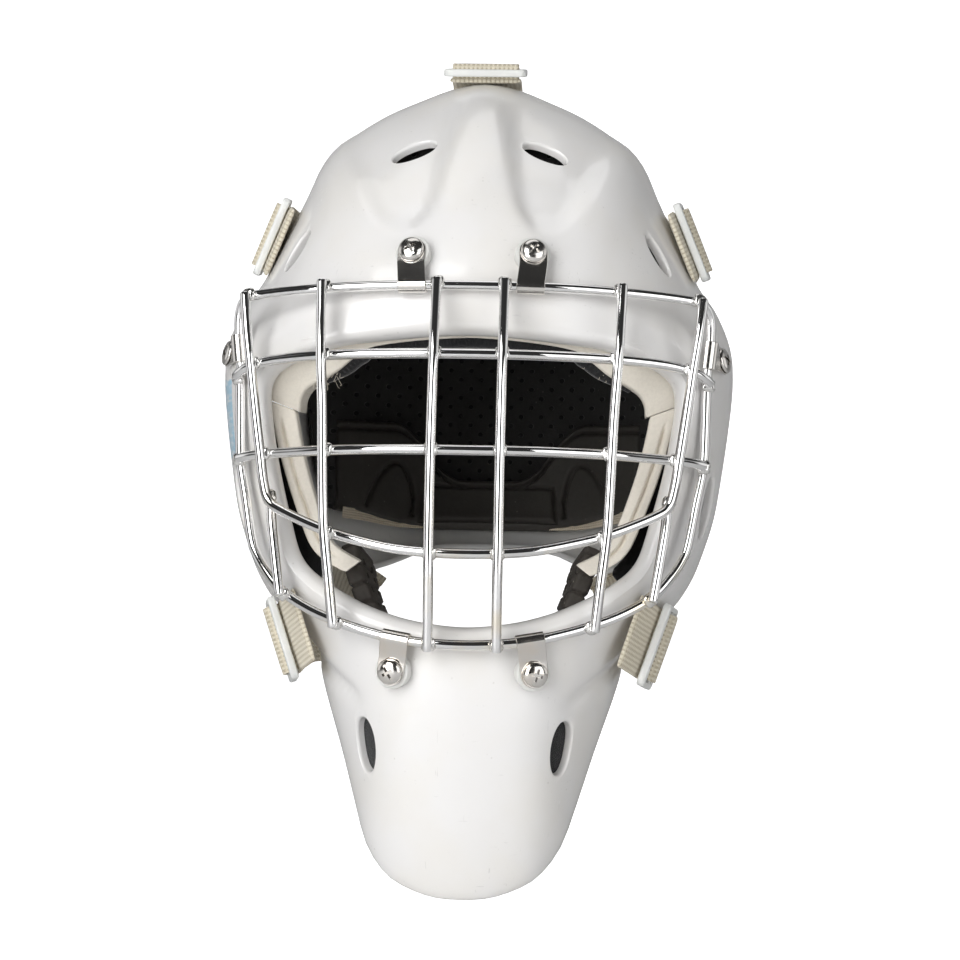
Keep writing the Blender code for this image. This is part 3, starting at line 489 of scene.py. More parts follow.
def as_object(name: str, bm: bmesh.types.BMesh, material: bpy.types.Material, smooth: float = 38.0,
              flip: bool = True) -> bpy.types.Object:
    """Make an object in metres from a mesh in millimetres, with its faces outward.

    Args:
        name: The object's name.
        bm: The mesh, which is used up.
        material: Its material.
        smooth: Angle in degrees above which an edge stays sharp.
        flip: Whether to work out the outward side of the faces.

    Returns:
        The object, linked to the scene.
    """
    if flip:
        bmesh.ops.recalc_face_normals(bm, faces=bm.faces)
        if bm.calc_volume(signed=True) < 0:
            bmesh.ops.reverse_faces(bm, faces=bm.faces)
    bmesh.ops.scale(bm, vec=(MM, MM, MM), verts=bm.verts)
    mesh = bpy.data.meshes.new(name)
    bm.to_mesh(mesh)
    bm.free()
    mesh.shade_smooth()
    mesh.set_sharp_from_angle(angle=math.radians(smooth))
    mesh.materials.append(material)
    obj = bpy.data.objects.new(name, mesh)
    bpy.context.scene.collection.objects.link(obj)
    return obj


def settle(obj: bpy.types.Object, smooth: float = 38.0) -> None:
    """Apply an object's modifiers to its mesh."""
    bpy.context.view_layer.update()
    graph = bpy.context.evaluated_depsgraph_get()
    mesh = bpy.data.meshes.new_from_object(obj.evaluated_get(graph))
    obj.modifiers.clear()
    obj.data = mesh
    mesh.shade_smooth()
    mesh.set_sharp_from_angle(angle=math.radians(smooth))


def modify(obj: bpy.types.Object, kind: str, **values: Any) -> None:
    """Add a modifier with the given settings."""
    modifier = obj.modifiers.new(kind.lower(), kind)
    for key, value in values.items():
        setattr(modifier, key, value)


def carve(obj: bpy.types.Object, cutter: bmesh.types.BMesh) -> None:
    """Cut a mesh in millimetres out of an object, and leave the result in its mesh."""
    tool = as_object("cutter", cutter, obj.data.materials[0])
    modify(obj, "BOOLEAN", operation="DIFFERENCE", solver="EXACT", object=tool)
    settle(obj)
    bpy.data.objects.remove(tool, do_unlink=True)


def show(obj: bpy.types.Object, rider: str, slot: str, *nodes: str) -> bpy.types.Object:
    """Let a piece ride on a body and stand for CAD nodes.

    Args:
        obj: The piece.
        rider: The body's name.
        slot: Not used.
        nodes: The CAD nodes that it stands for.

    Returns:
        The piece.
    """
    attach(obj, rider)
    if nodes:
        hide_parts(*nodes)
    LOG.info("%s: %d faces on %s", obj.name, len(obj.data.polygons), rider)
    return obj


class Probe:
    """Finds where straight lines meet a CAD node, in millimetres."""

    def __init__(self, node: bpy.types.Object) -> None:
        """Index the node's mesh."""
        verts = [v.co / MM for v in node.data.vertices]
        self.tree = BVHTree.FromPolygons(verts, [tuple(p.vertices) for p in node.data.polygons])

    def hit(self, origin: Vector, direction: Vector) -> Optional[Vector]:
        """The first point met from origin, or None."""
        return self.tree.ray_cast(origin, direction.normalized(), 200)[0]


# ---------------------------------------------------------------- node trees


class Graph:
    """Adds and joins the nodes of one tree."""

    def __init__(self, tree: bpy.types.NodeTree) -> None:
        """Work on a tree."""
        self.tree = tree

    def add(self, kind: str, settings: Optional[dict[str, Any]] = None, **inputs: Any) -> bpy.types.Node:
        """Add a node.

        Args:
            kind: The node's type, without the ShaderNode prefix.
            settings: Its properties.
            inputs: Its inputs by name, with _ for a space: a value, or the socket that feeds it.

        Returns:
            The node.
        """
        node = self.tree.nodes.new("ShaderNode" + kind)
        for key, value in (settings or {}).items():
            setattr(node, key, value)
        for key, value in inputs.items():
            self.feed(node.inputs[key.replace("_", " ")], value)
        return node

    def feed(self, socket: bpy.types.NodeSocket, value: Any) -> None:
        """Link a socket to an input, or set its value."""
        if isinstance(value, bpy.types.NodeSocket):
            self.tree.links.new(value, socket)
        else:
            socket.default_value = value

    def math(self, operation: str, *values: Any, clamp: bool = False) -> bpy.types.NodeSocket:
        """The result of a sum on numbers or sockets."""
        node = self.add("Math", {"operation": operation, "use_clamp": clamp})
        for socket, value in zip(node.inputs, values):
            self.feed(socket, value)
        return node.outputs[0]

    def span(self, value: Any, low: float, high: float, to_low: float = 0.0,
             to_high: float = 1.0) -> bpy.types.NodeSocket:
        """A value taken smoothly from one span to another."""
        node = self.add("MapRange", {"interpolation_type": "SMOOTHSTEP"}, Value=value, From_Min=low,
                        From_Max=high, To_Min=to_low, To_Max=to_high)
        return node.outputs["Result"]

    def blend(self, factor: Any, first: Any, second: Any) -> bpy.types.NodeSocket:
        """A colour between two others."""
        node = self.add("Mix", {"data_type": "RGBA"})
        for socket, value in zip((node.inputs[0], node.inputs[6], node.inputs[7]), (factor, first, second)):
            self.feed(socket, value)
        return node.outputs[2]

    def noise(self, vector: Any, scale: float, detail: float = 3.0, roughness: float = 0.5) -> bpy.types.NodeSocket:
        """A noise value over a vector."""
        return self.add("TexNoise", Vector=vector, Scale=scale, Detail=detail, Roughness=roughness).outputs[0]

    def stretched(self, vector: Any, scale: Triple) -> bpy.types.NodeSocket:
        """A vector scaled along each axis."""
        return self.add("Mapping", Vector=vector, Scale=scale).outputs[0]

    def bump(self, height: Any, distance: float, strength: float = 1.0) -> bpy.types.NodeSocket:
        """A normal from a height in units of the given distance, in metres."""
        return self.add("Bump", Height=height, Distance=distance, Strength=strength).outputs[0]


def rgba(colour: Triple) -> tuple[float, float, float, float]:
    """A colour with full alpha."""
    return (*colour, 1.0)


class Effects:
    """The node groups that several finishes share, each made once."""

    def __init__(self) -> None:
        """Make every group."""
        self.scuffs = self._group("scuffs", {"Vector": "Vector", "Amount": "Float"}, ("Mask", "Height"),
                                  self._draw_scuffs)
        self.grain = self._group("fine_grain", {"Vector": "Vector", "Scale": "Float"}, ("Height", "Shade"),
                                 self._draw_grain)
        self.dust = self._group("dust", {"Vector": "Vector", "Amount": "Float"}, ("Mask",), self._draw_dust)
        self.holes = self._group("hole_grid", {"Vector": "Vector", "Pitch": "Float", "Radius": "Float"},
                                 ("Mask",), self._draw_holes)
        self.knit = self._group("knit", {"Vector": "Vector", "Rib": "Float", "Stitch": "Float"},
                                ("Height", "Shade"), self._draw_knit)

    @staticmethod
    def _group(name: str, inputs: dict[str, str], outputs: Sequence[str],
               draw: Callable[[Graph, dict[str, Any], dict[str, Any]], None]) -> bpy.types.NodeTree:
        """Make one group and let a function fill it.

        Args:
            name: The group's name.
            inputs: Socket kinds by name.
            outputs: Names of the values that it puts out.
            draw: Adds the nodes between the inputs and the outputs.

        Returns:
            The group.
        """
        tree = bpy.data.node_groups.new(name, "ShaderNodeTree")
        for key, kind in inputs.items():
            tree.interface.new_socket(key, in_out="INPUT", socket_type="NodeSocket" + kind)
        for key in outputs:
            tree.interface.new_socket(key, in_out="OUTPUT", socket_type="NodeSocketFloat")
        source = tree.nodes.new("NodeGroupInput")
        target = tree.nodes.new("NodeGroupOutput")
        draw(Graph(tree), {k: source.outputs[k] for k in inputs}, {k: target.inputs[k] for k in outputs})
        return tree

    @staticmethod
    def _draw_scuffs(g: Graph, i: dict[str, Any], o: dict[str, Any]) -> None:
        """Short hairline scratches in two directions, gathered in patches."""
        first = g.noise(g.stretched(i["Vector"], (900, 900, 60)), 1.0, 2.0)
        second = g.noise(g.stretched(i["Vector"], (70, 700, 800)), 1.0, 2.0)
        lines = g.math("MAXIMUM", g.span(first, 0.69, 0.73), g.span(second, 0.70, 0.74))
        patches = g.span(g.noise(i["Vector"], 42.0, 3.0), 0.5, 0.66)
        mask = g.math("MULTIPLY", g.math("MULTIPLY", lines, patches), i["Amount"], clamp=True)
        g.feed(o["Mask"], mask)
        g.feed(o["Height"], g.math("MULTIPLY", mask, -1.0))

    @staticmethod
    def _draw_grain(g: Graph, i: dict[str, Any], o: dict[str, Any]) -> None:
        """Fine even grain, with slow changes of shade."""
        fine = g.add("TexNoise", Vector=i["Vector"], Scale=i["Scale"], Detail=4.0, Roughness=0.65).outputs[0]
        g.feed(o["Height"], fine)
        g.feed(o["Shade"], g.noise(i["Vector"], 28.0, 3.0))

    @staticmethod
    def _draw_dust(g: Graph, i: dict[str, Any], o: dict[str, Any]) -> None:
        """Small specks of lint."""
        cells = g.add("TexVoronoi", {"feature": "F1"}, Vector=i["Vector"], Scale=260.0).outputs["Distance"]
        thin = g.span(g.noise(i["Vector"], 120.0, 2.0), 0.56, 0.66)
        g.feed(o["Mask"], g.math("MULTIPLY", g.math("MULTIPLY", g.span(cells, 0.16, 0.06), thin), i["Amount"]))

    @staticmethod
    def _draw_holes(g: Graph, i: dict[str, Any], o: dict[str, Any]) -> None:
        """Round holes in staggered rows over x and z."""
        parts = g.add("SeparateXYZ", Vector=i["Vector"])
        tall = g.math("MULTIPLY", i["Pitch"], 0.9)
        near = []
        for shift in (0.0, 0.5):
            x = g.math("SUBTRACT", g.math("FRACT", g.math("ADD", g.math("DIVIDE", parts.outputs[0], i["Pitch"]),
                                                          100 + shift)), 0.5)
            z = g.math("SUBTRACT", g.math("FRACT", g.math("ADD", g.math("DIVIDE", parts.outputs[2], tall),
                                                          100 + shift)), 0.5)
            x = g.math("MULTIPLY", x, i["Pitch"])
            z = g.math("MULTIPLY", z, tall)
            near.append(g.math("SQRT", g.math("ADD", g.math("MULTIPLY", x, x), g.math("MULTIPLY", z, z))))
        share = g.math("DIVIDE", g.math("MINIMUM", near[0], near[1]), i["Radius"])
        g.feed(o["Mask"], g.span(share, 1.12, 0.82))

    @staticmethod
    def _draw_knit(g: Graph, i: dict[str, Any], o: dict[str, Any]) -> None:
        """Lengthwise ribs crossed by slanted stitches; the vector is in metres along and across."""
        parts = g.add("SeparateXYZ", Vector=i["Vector"])
        along, across = parts.outputs[0], parts.outputs[1]
        rib = g.math("SINE", g.math("MULTIPLY", g.math("DIVIDE", across, i["Rib"]), 6.2832))
        rib = g.math("ADD", g.math("MULTIPLY", rib, 0.5), 0.5)
        slant = g.math("ADD", g.math("DIVIDE", along, i["Stitch"]), g.math("MULTIPLY", rib, 0.45))
        stitch = g.math("ADD", g.math("MULTIPLY", g.math("SINE", g.math("MULTIPLY", slant, 6.2832)), 0.5), 0.5)
        fuzz = g.noise(i["Vector"], 2600.0, 2.0)
        height = g.math("ADD", g.math("MULTIPLY", rib, 0.55), g.math("MULTIPLY", stitch, 0.45))
        g.feed(o["Height"], g.math("ADD", height, g.math("MULTIPLY", fuzz, 0.35)))
        g.feed(o["Shade"], g.math("ADD", g.math("MULTIPLY", height, 0.7), g.math("MULTIPLY", fuzz, 0.3)))


@dataclass(frozen=True)
class Finish:
    """What every finish has: a name and a base colour."""

    name: str
    colour: Triple

    def make(self, effects: Effects) -> bpy.types.Material:
        """Build the material.

        Args:
            effects: The shared node groups.

        Returns:
            The material.
        """
        material = bpy.data.materials.new(self.name)
        material.use_nodes = True
        material.diffuse_color = rgba(self.colour)
        tree = material.node_tree
        shader = tree.nodes["Principled BSDF"]
        graph = Graph(tree)
        place = graph.add("TexCoord")
        shader.inputs["Base Color"].default_value = rgba(self.colour)
        self.dress(graph, shader, place, effects)
        return material

    def dress(self, g: Graph, shader: bpy.types.Node, place: bpy.types.Node, effects: Effects) -> None:
        """Add the finish's own nodes and constants."""
        raise NotImplementedError

    @staticmethod
    def use(g: Graph, group: bpy.types.NodeTree, **inputs: Any) -> bpy.types.Node:
        """Place a shared group in the material."""
        node = g.add("Group", {"node_tree": group})
        for key, value in inputs.items():
            g.feed(node.inputs[key], value)
        return node

    @staticmethod
    def constants(shader: bpy.types.Node, **values: Any) -> None:
        """Set plain numbers and colours on the shader."""
        for key, value in values.items():
            shader.inputs[key.replace("_", " ")].default_value = value


@dataclass(frozen=True)
class GlossPaint(Finish):
    """Moulded shell with a glossy clear coat, hairline scuffs and a soft unevenness."""

    roughness: float = 0.22
    scuff: float = 0.5
    film: Optional[Triple] = None

    def dress(self, g: Graph, shader: bpy.types.Node, place: bpy.types.Node, effects: Effects) -> None:
        """Add scuffs, slow shade changes and, on the shell, the strip of blue film."""
        spot = place.outputs["Object"]
        scuffs = self.use(g, effects.scuffs, Vector=spot, Amount=self.scuff)
        grain = self.use(g, effects.grain, Vector=spot, Scale=240.0)
        dust = self.use(g, effects.dust, Vector=spot, Amount=0.35)
        shade = g.span(grain.outputs["Shade"], 0.35, 0.7)
        warm = tuple(c * f for c, f in zip(self.colour, (0.985, 0.975, 0.95)))
        colour = g.blend(shade, rgba(self.colour), rgba(warm))
        colour = g.blend(g.math("MULTIPLY", scuffs.outputs["Mask"], 0.55), colour, (0.42, 0.41, 0.40, 1))
        colour = g.blend(dust.outputs["Mask"], colour, (0.5, 0.48, 0.45, 1))
        if self.film:
            parts = g.add("SeparateXYZ", Vector=spot)
            x, y, z = parts.outputs
            wobble = g.math("MULTIPLY", g.math("SUBTRACT", g.noise(spot, 90.0, 2.0), 0.5), 0.004)
            tall = g.math("MULTIPLY", g.span(g.math("ADD", z, wobble), 0.0075, 0.0085),
                          g.span(g.math("ADD", z, wobble), 0.0445, 0.0435))
            deep = g.math("MULTIPLY", g.span(y, -0.0705, -0.0695), g.span(y, -0.0235, -0.0245))
            mask = g.math("MULTIPLY", g.math("MULTIPLY", tall, deep), g.span(x, -0.09, -0.095))
            streak = g.span(g.noise(g.stretched(spot, (60, 60, 420)), 1.0, 3.0), 0.4, 0.68)
            film = g.blend(streak, rgba(self.film), (0.62, 0.78, 0.88, 1))
            colour = g.blend(g.math("MULTIPLY", mask, 0.85), colour, film)
        g.feed(shader.inputs["Base Color"], colour)
        rough = g.math("ADD", g.span(grain.outputs["Shade"], 0.3, 0.75, self.roughness - 0.03, self.roughness + 0.05),
                       g.math("MULTIPLY", scuffs.outputs["Mask"], 0.3))
        g.feed(shader.inputs["Roughness"], rough)
        height = g.math("ADD", g.math("MULTIPLY", grain.outputs["Height"], 0.25), scuffs.outputs["Height"])
        g.feed(shader.inputs["Normal"], g.bump(height, 0.00006))
        self.constants(shader, IOR=1.5, Coat_Weight=0.35, Coat_Roughness=0.08)


@dataclass(frozen=True)
class Plated(Finish):
    """Chrome or nickel plate on steel."""

    roughness: float = 0.06
    brushed: float = 0.0
    tint: Triple = (0.9, 0.78, 0.55)

    def dress(self, g: Graph, shader: bpy.types.Node, place: bpy.types.Node, effects: Effects) -> None:
        """Add slight tint, dulling patches, brushing and scuffs."""
        spot = place.outputs["Object"]
        scuffs = self.use(g, effects.scuffs, Vector=spot, Amount=0.8)
        grain = self.use(g, effects.grain, Vector=spot, Scale=700.0)
        low = g.span(g.add("SeparateXYZ", Vector=spot).outputs[2], 0.03, -0.07)
        patch = g.span(g.noise(spot, 55.0, 3.0), 0.48, 0.72)
        colour = g.blend(g.math("MULTIPLY", g.math("MULTIPLY", patch, low), 0.5), rgba(self.colour), rgba(self.tint))
        g.feed(shader.inputs["Base Color"], colour)
        streaks = g.noise(g.stretched(spot, (2400, 260, 2400)), 1.0, 2.0)
        rough = g.span(grain.outputs["Shade"], 0.35, 0.75, self.roughness, self.roughness * 1.9)
        rough = g.math("ADD", rough, g.math("MULTIPLY", streaks, self.brushed))
        g.feed(shader.inputs["Roughness"], g.math("ADD", rough, g.math("MULTIPLY", scuffs.outputs["Mask"], 0.25)))
        lines = g.math("MULTIPLY", streaks, 4 * self.brushed)
        height = g.math("ADD", g.math("MULTIPLY", grain.outputs["Height"], 0.6), lines)
        g.feed(shader.inputs["Normal"], g.bump(height, 0.000008))
        self.constants(shader, Metallic=1.0)


@dataclass(frozen=True)
class Moulded(Finish):
    """Plain moulded plastic or rubber, from milky nylon to a matt pad."""

    roughness: float = 0.4
    grain: float = 300.0
    depth: float = 0.00008
    milky: float = 0.0
    lint: float = 0.2

    def dress(self, g: Graph, shader: bpy.types.Node, place: bpy.types.Node, effects: Effects) -> None:
        """Add grain, slow shade changes and lint."""
        spot = place.outputs["Object"]
        grain = self.use(g, effects.grain, Vector=spot, Scale=self.grain)
        dust = self.use(g, effects.dust, Vector=spot, Amount=self.lint)
        dark = rgba(tuple(c * 0.86 for c in self.colour))
        colour = g.blend(g.span(grain.outputs["Shade"], 0.35, 0.7), rgba(self.colour), dark)
        colour = g.blend(g.span(grain.outputs["Height"], 0.62, 0.35, 0.0, 0.35), colour, dark)
        colour = g.blend(dust.outputs["Mask"], colour, (0.55, 0.52, 0.47, 1))
        g.feed(shader.inputs["Base Color"], colour)
        g.feed(shader.inputs["Roughness"], g.span(grain.outputs["Height"], 0.3, 0.7, self.roughness,
                                                  min(self.roughness + 0.12, 1.0)))
        g.feed(shader.inputs["Normal"], g.bump(grain.outputs["Height"], self.depth))
        if self.milky:
            self.constants(shader, Subsurface_Weight=self.milky, Subsurface_Radius=(0.004, 0.004, 0.0038))


@dataclass(frozen=True)
class KnitElastic(Finish):
    """Ribbed knit elastic webbing."""

    rib: float = 0.0021
    stitch: float = 0.0016

    def dress(self, g: Graph, shader: bpy.types.Node, place: bpy.types.Node, effects: Effects) -> None:
        """Add ribs and stitches along the strap's own map."""
        knit = self.use(g, effects.knit, Vector=place.outputs["UV"], Rib=self.rib, Stitch=self.stitch)
        dust = self.use(g, effects.dust, Vector=place.outputs["Object"], Amount=0.2)
        dark = rgba(tuple(c * f for c, f in zip(self.colour, (0.62, 0.58, 0.5))))
        colour = g.blend(g.span(knit.outputs["Shade"], 0.15, 0.75), dark, rgba(self.colour))
        wash = g.span(g.noise(place.outputs["Object"], 45.0, 3.0), 0.35, 0.7, 0.0, 0.3)
        colour = g.blend(wash, colour, rgba(tuple(c * 0.8 for c in self.colour)))
        colour = g.blend(dust.outputs["Mask"], colour, (0.3, 0.28, 0.25, 1))
        g.feed(shader.inputs["Base Color"], colour)
        g.feed(shader.inputs["Normal"], g.bump(knit.outputs["Height"], 0.0004, 0.9))
        self.constants(shader, Roughness=0.85, Sheen_Weight=0.3, Sheen_Roughness=0.5)


@dataclass(frozen=True)
class SoftFoam(Finish):
    """Foam or pile fabric: cream liner, black velour, or foam with punched holes."""

    grain: float = 900.0
    depth: float = 0.00018
    sheen: float = 0.0
    pitch: float = 0.0
    hole: float = 0.0011
    lint: float = 0.4
    stain: float = 0.6

    def dress(self, g: Graph, shader: bpy.types.Node, place: bpy.types.Node, effects: Effects) -> None:
        """Add pores or pile, stains, lint and, on the liner, rows of holes painted near black as painted shade inside
        them.
        """
        spot = place.outputs["Object"]
        grain = self.use(g, effects.grain, Vector=spot, Scale=self.grain)
        dust = self.use(g, effects.dust, Vector=spot, Amount=self.lint)
        dark = rgba(tuple(c * 0.7 for c in self.colour))
        colour = g.blend(g.span(grain.outputs["Height"], 0.6, 0.35, 0.0, self.stain), rgba(self.colour), dark)
        colour = g.blend(g.span(grain.outputs["Shade"], 0.4, 0.75, 0.0, self.stain), colour, dark)
        colour = g.blend(dust.outputs["Mask"], colour, (0.5, 0.47, 0.42, 1))
        height = grain.outputs["Height"]
        if self.pitch:
            holes = self.use(g, effects.holes, Vector=spot, Pitch=self.pitch, Radius=self.hole)
            # The holes are real, but their near-black colour is painted shade inside them; the bump below dents them
            # in.
            colour = g.blend(holes.outputs["Mask"], colour, (0.004, 0.004, 0.004, 1))
            height = g.math("SUBTRACT", height, g.math("MULTIPLY", holes.outputs["Mask"], 4.0))
        g.feed(shader.inputs["Base Color"], colour)
        g.feed(shader.inputs["Normal"], g.bump(height, self.depth))
        self.constants(shader, Roughness=0.95, Sheen_Weight=self.sheen, Sheen_Roughness=0.4)


class Palette:
    """Every material of the mask, made once."""

    def __init__(self) -> None:
        """Make the groups and the materials."""
        effects = Effects()
        finishes = {
            "shell": GlossPaint("shell_gloss_white", (0.82, 0.81, 0.80), 0.20, 0.7, (0.30, 0.60, 0.80)),
            "plate": GlossPaint("plate_white", (0.74, 0.74, 0.73), 0.32, 0.4),
            "chrome": Plated("chrome_wire", (0.88, 0.875, 0.87), 0.045),
            "weld": Plated("chrome_weld", (0.76, 0.75, 0.73), 0.14, 0.02),
            "nickel": Plated("nickel_plate", (0.76, 0.735, 0.70), 0.10, 0.03, (0.8, 0.7, 0.58)),
            "nylon": Moulded("white_nylon", (0.80, 0.80, 0.77), 0.38, 420.0, 0.00004, 0.35, 0.1),
            "slide": Moulded("slide_plastic", (0.84, 0.85, 0.83), 0.28, 260.0, 0.00004, 0.5, 0.1),
            "elastic": KnitElastic("cream_elastic", (0.80, 0.74, 0.60)),
            "fuzz": KnitElastic("beige_binding", (0.78, 0.69, 0.55), 0.0012, 0.0011),
            "cream": SoftFoam("cream_foam", (0.80, 0.75, 0.66), 700.0, 0.00010, 0.1, 0.0, 0.001, 0.15, 0.16),
            "velour": SoftFoam("black_velour", (0.012, 0.012, 0.013), 1400.0, 0.0003, 0.5),
            "perforated": SoftFoam("perforated_foam", (0.026, 0.025, 0.024), 1100.0, 0.0002, 0.1, 0.0105, 0.00125, 0.1),
            "moulded": Moulded("moulded_pad", (0.044, 0.040, 0.034), 0.6, 520.0, 0.00012, 0.0, 0.2),
            "cup": Moulded("cup_foam", (0.060, 0.052, 0.044), 0.62, 620.0, 0.00018, 0.0, 0.6),
            "thread": Moulded("thread", (0.55, 0.50, 0.42), 0.8, 900.0, 0.00004, 0.0, 0.0),
        }
        self.made = {key: finish.make(effects) for key, finish in finishes.items()}

    def __getitem__(self, key: str) -> bpy.types.Material:
        """The material of that finish."""
        return self.made[key]


# ---------------------------------------------------------------- shell and back plate


def flared_cutter(probe: Probe, seat: Matrix, half_length: float, half_width: float,
                  power: float = 2.3, flare: float = 1.0) -> bmesh.types.BMesh:
    """A cutter for an oval vent whose edge is rounded where it meets the curved surface.

    Args:
        probe: Finds the surface.
        seat: Frame at the vent's middle, with z along the surface normal and x along the vent.
        half_length: Half the vent's length.
        half_width: Half its width.
        power: Squareness of the oval.
        flare: Width of the rounded edge.

    Returns:
        The cutter, a closed body.
    """
    count = 48
    out = seat.to_3x3().col[2]
    levels = ((-13.0, 0.0), (-1.5, 0.0), (-0.8, 0.12), (-0.35, 0.42), (0.0, 0.85), (0.7, 1.9), (8.0, 2.4))
    feet = []
    for i in range(count):
        angle = 2 * math.pi * i / count
        c, s = math.cos(angle), math.sin(angle)
        x = half_length * math.copysign(abs(c) ** (2 / power), c)
        y = half_width * math.copysign(abs(s) ** (2 / power), s)
        top = seat @ Vector((x, y, 14))
        found = probe.hit(top, -out)
        height = (seat.inverted() @ found).z if found is not None else 0.0
        feet.append((Vector((x, y, 0)), Vector((x, y, 0)).normalized(), height))

    def place(u: float, v: float) -> Vector:
        """A point on the cutter's side."""
        foot, away, height = feet[round(u * count) % count]
        rise, spread = levels[round(v * (len(levels) - 1))]
        return seat @ (foot + away * spread * flare + Vector((0, 0, height + rise)))

    bm = warp_grid(count, len(levels) - 1, place)
    cap(bm)
    return bm


@dataclass
class Shell:
    """The one-piece moulded shell with its rolled lip and vents."""

    skin: ShellForm
    columns: int = 216
    fold_rows: int = 12
    front_rows: int = 46
    side_rows: int = 24
    crown_vent: tuple = (31.5, 154.5, 10.6, 5.6, -27.0)
    temple_vent: tuple = (83.0, 104.0, 10.5, 4.6, -64.0)
    chin_vent: tuple = (43.5, -118.0, 12.0, 6.6, 84.0)
    ear_vent: tuple = (-6.0, -66.0, 14.0, 7.0)

    def row(self, v: float) -> float:
        """The form's t for a share of the grid's rows."""
        total = self.fold_rows + self.front_rows + self.side_rows
        step = v * total
        if step <= self.fold_rows:
            return step / self.fold_rows - 1
        if step <= self.fold_rows + self.front_rows:
            return (step - self.fold_rows) / self.front_rows
        return 1 + (step - self.fold_rows - self.front_rows) / self.side_rows

    def build(self, white: bpy.types.Material) -> bpy.types.Object:
        """Make the shell.

        Args:
            white: Its finish.

        Returns:
            The piece.
        """
        rows = self.fold_rows + self.front_rows + self.side_rows
        bm = warp_grid(self.columns, rows, lambda u, v: self.skin.point(-90 + 360 * u, self.row(v)))
        if sum(f.calc_area() * f.normal.dot(f.calc_center_median() - Vector((0, -30, 0))) for f in bm.faces) < 0:
            bmesh.ops.reverse_faces(bm, faces=bm.faces)
        obj = as_object("mask_shell", bm, white, flip=False)
        modify(obj, "SOLIDIFY", thickness=WALL * MM, offset=-1, use_even_offset=True)
        settle(obj)
        self.round_rims(obj)
        probe = Probe(obj)
        cutters = []
        for x, z, long, wide, twist in (self.crown_vent, self.temple_vent, self.chin_vent):
            for side in Side:
                turn, t = self.skin.locate(x * side.value, z)
                lean = math.radians(twist)
                along = Vector((math.cos(lean) * side.value, 0, math.sin(lean)))
                seat = frame_at(self.skin.point(turn, t), along, self.skin.normal(turn, t))
                cutters.append(flared_cutter(probe, seat, long, wide))
        angle, depth, high, wide = self.ear_vent
        for side in Side:
            turn = angle if side is Side.RIGHT else 180 - angle
            t = self.skin.t_at_depth(turn, depth)
            seat = frame_at(self.skin.point(turn, t), Vector((0, 0, 1)), self.skin.normal(turn, t))
            cutters.append(flared_cutter(probe, seat, high, wide, flare=1.5))
        carve(obj, merged(cutters))
        return show(obj, Rider.MASK.value, "shell_white", "shell")

    @staticmethod
    def round_rims(obj: bpy.types.Object) -> None:
        """Round the edges of a shell's cut rims."""
        bm = bmesh.new()
        bm.from_mesh(obj.data)
        sharp = [e for e in bm.edges if e.is_manifold and e.calc_face_angle(0.0) > math.radians(62)]
        bmesh.ops.bevel(bm, geom=sharp, offset=1.3 * MM, segments=3, profile=0.5, affect="EDGES", material=-1)
        bm.to_mesh(obj.data)
        bm.free()
        obj.data.shade_smooth()
        obj.data.set_sharp_from_angle(angle=math.radians(38))


@dataclass
class BackPlate:
    """The moulded plate behind the head."""

    form: PlateForm

    def build(self, white: bpy.types.Material) -> bpy.types.Object:
        """Make the plate.

        Args:
            white: Its finish.

        Returns:
            The piece.
        """
        bm = warp_grid(144, 40, lambda u, v: self.form.plain(-90 + 360 * u, v))
        if sum(f.calc_area() * f.normal.y for f in bm.faces) < 0:
            bmesh.ops.reverse_faces(bm, faces=bm.faces)
        obj = as_object("rear_plate", bm, white, flip=False)
        modify(obj, "SOLIDIFY", thickness=self.form.wall * MM, offset=-1, use_even_offset=True)
        settle(obj)
        Shell.round_rims(obj)
        return show(obj, Rider.BACK.value, "plate_white", "back_plate")


# ---------------------------------------------------------------- cage


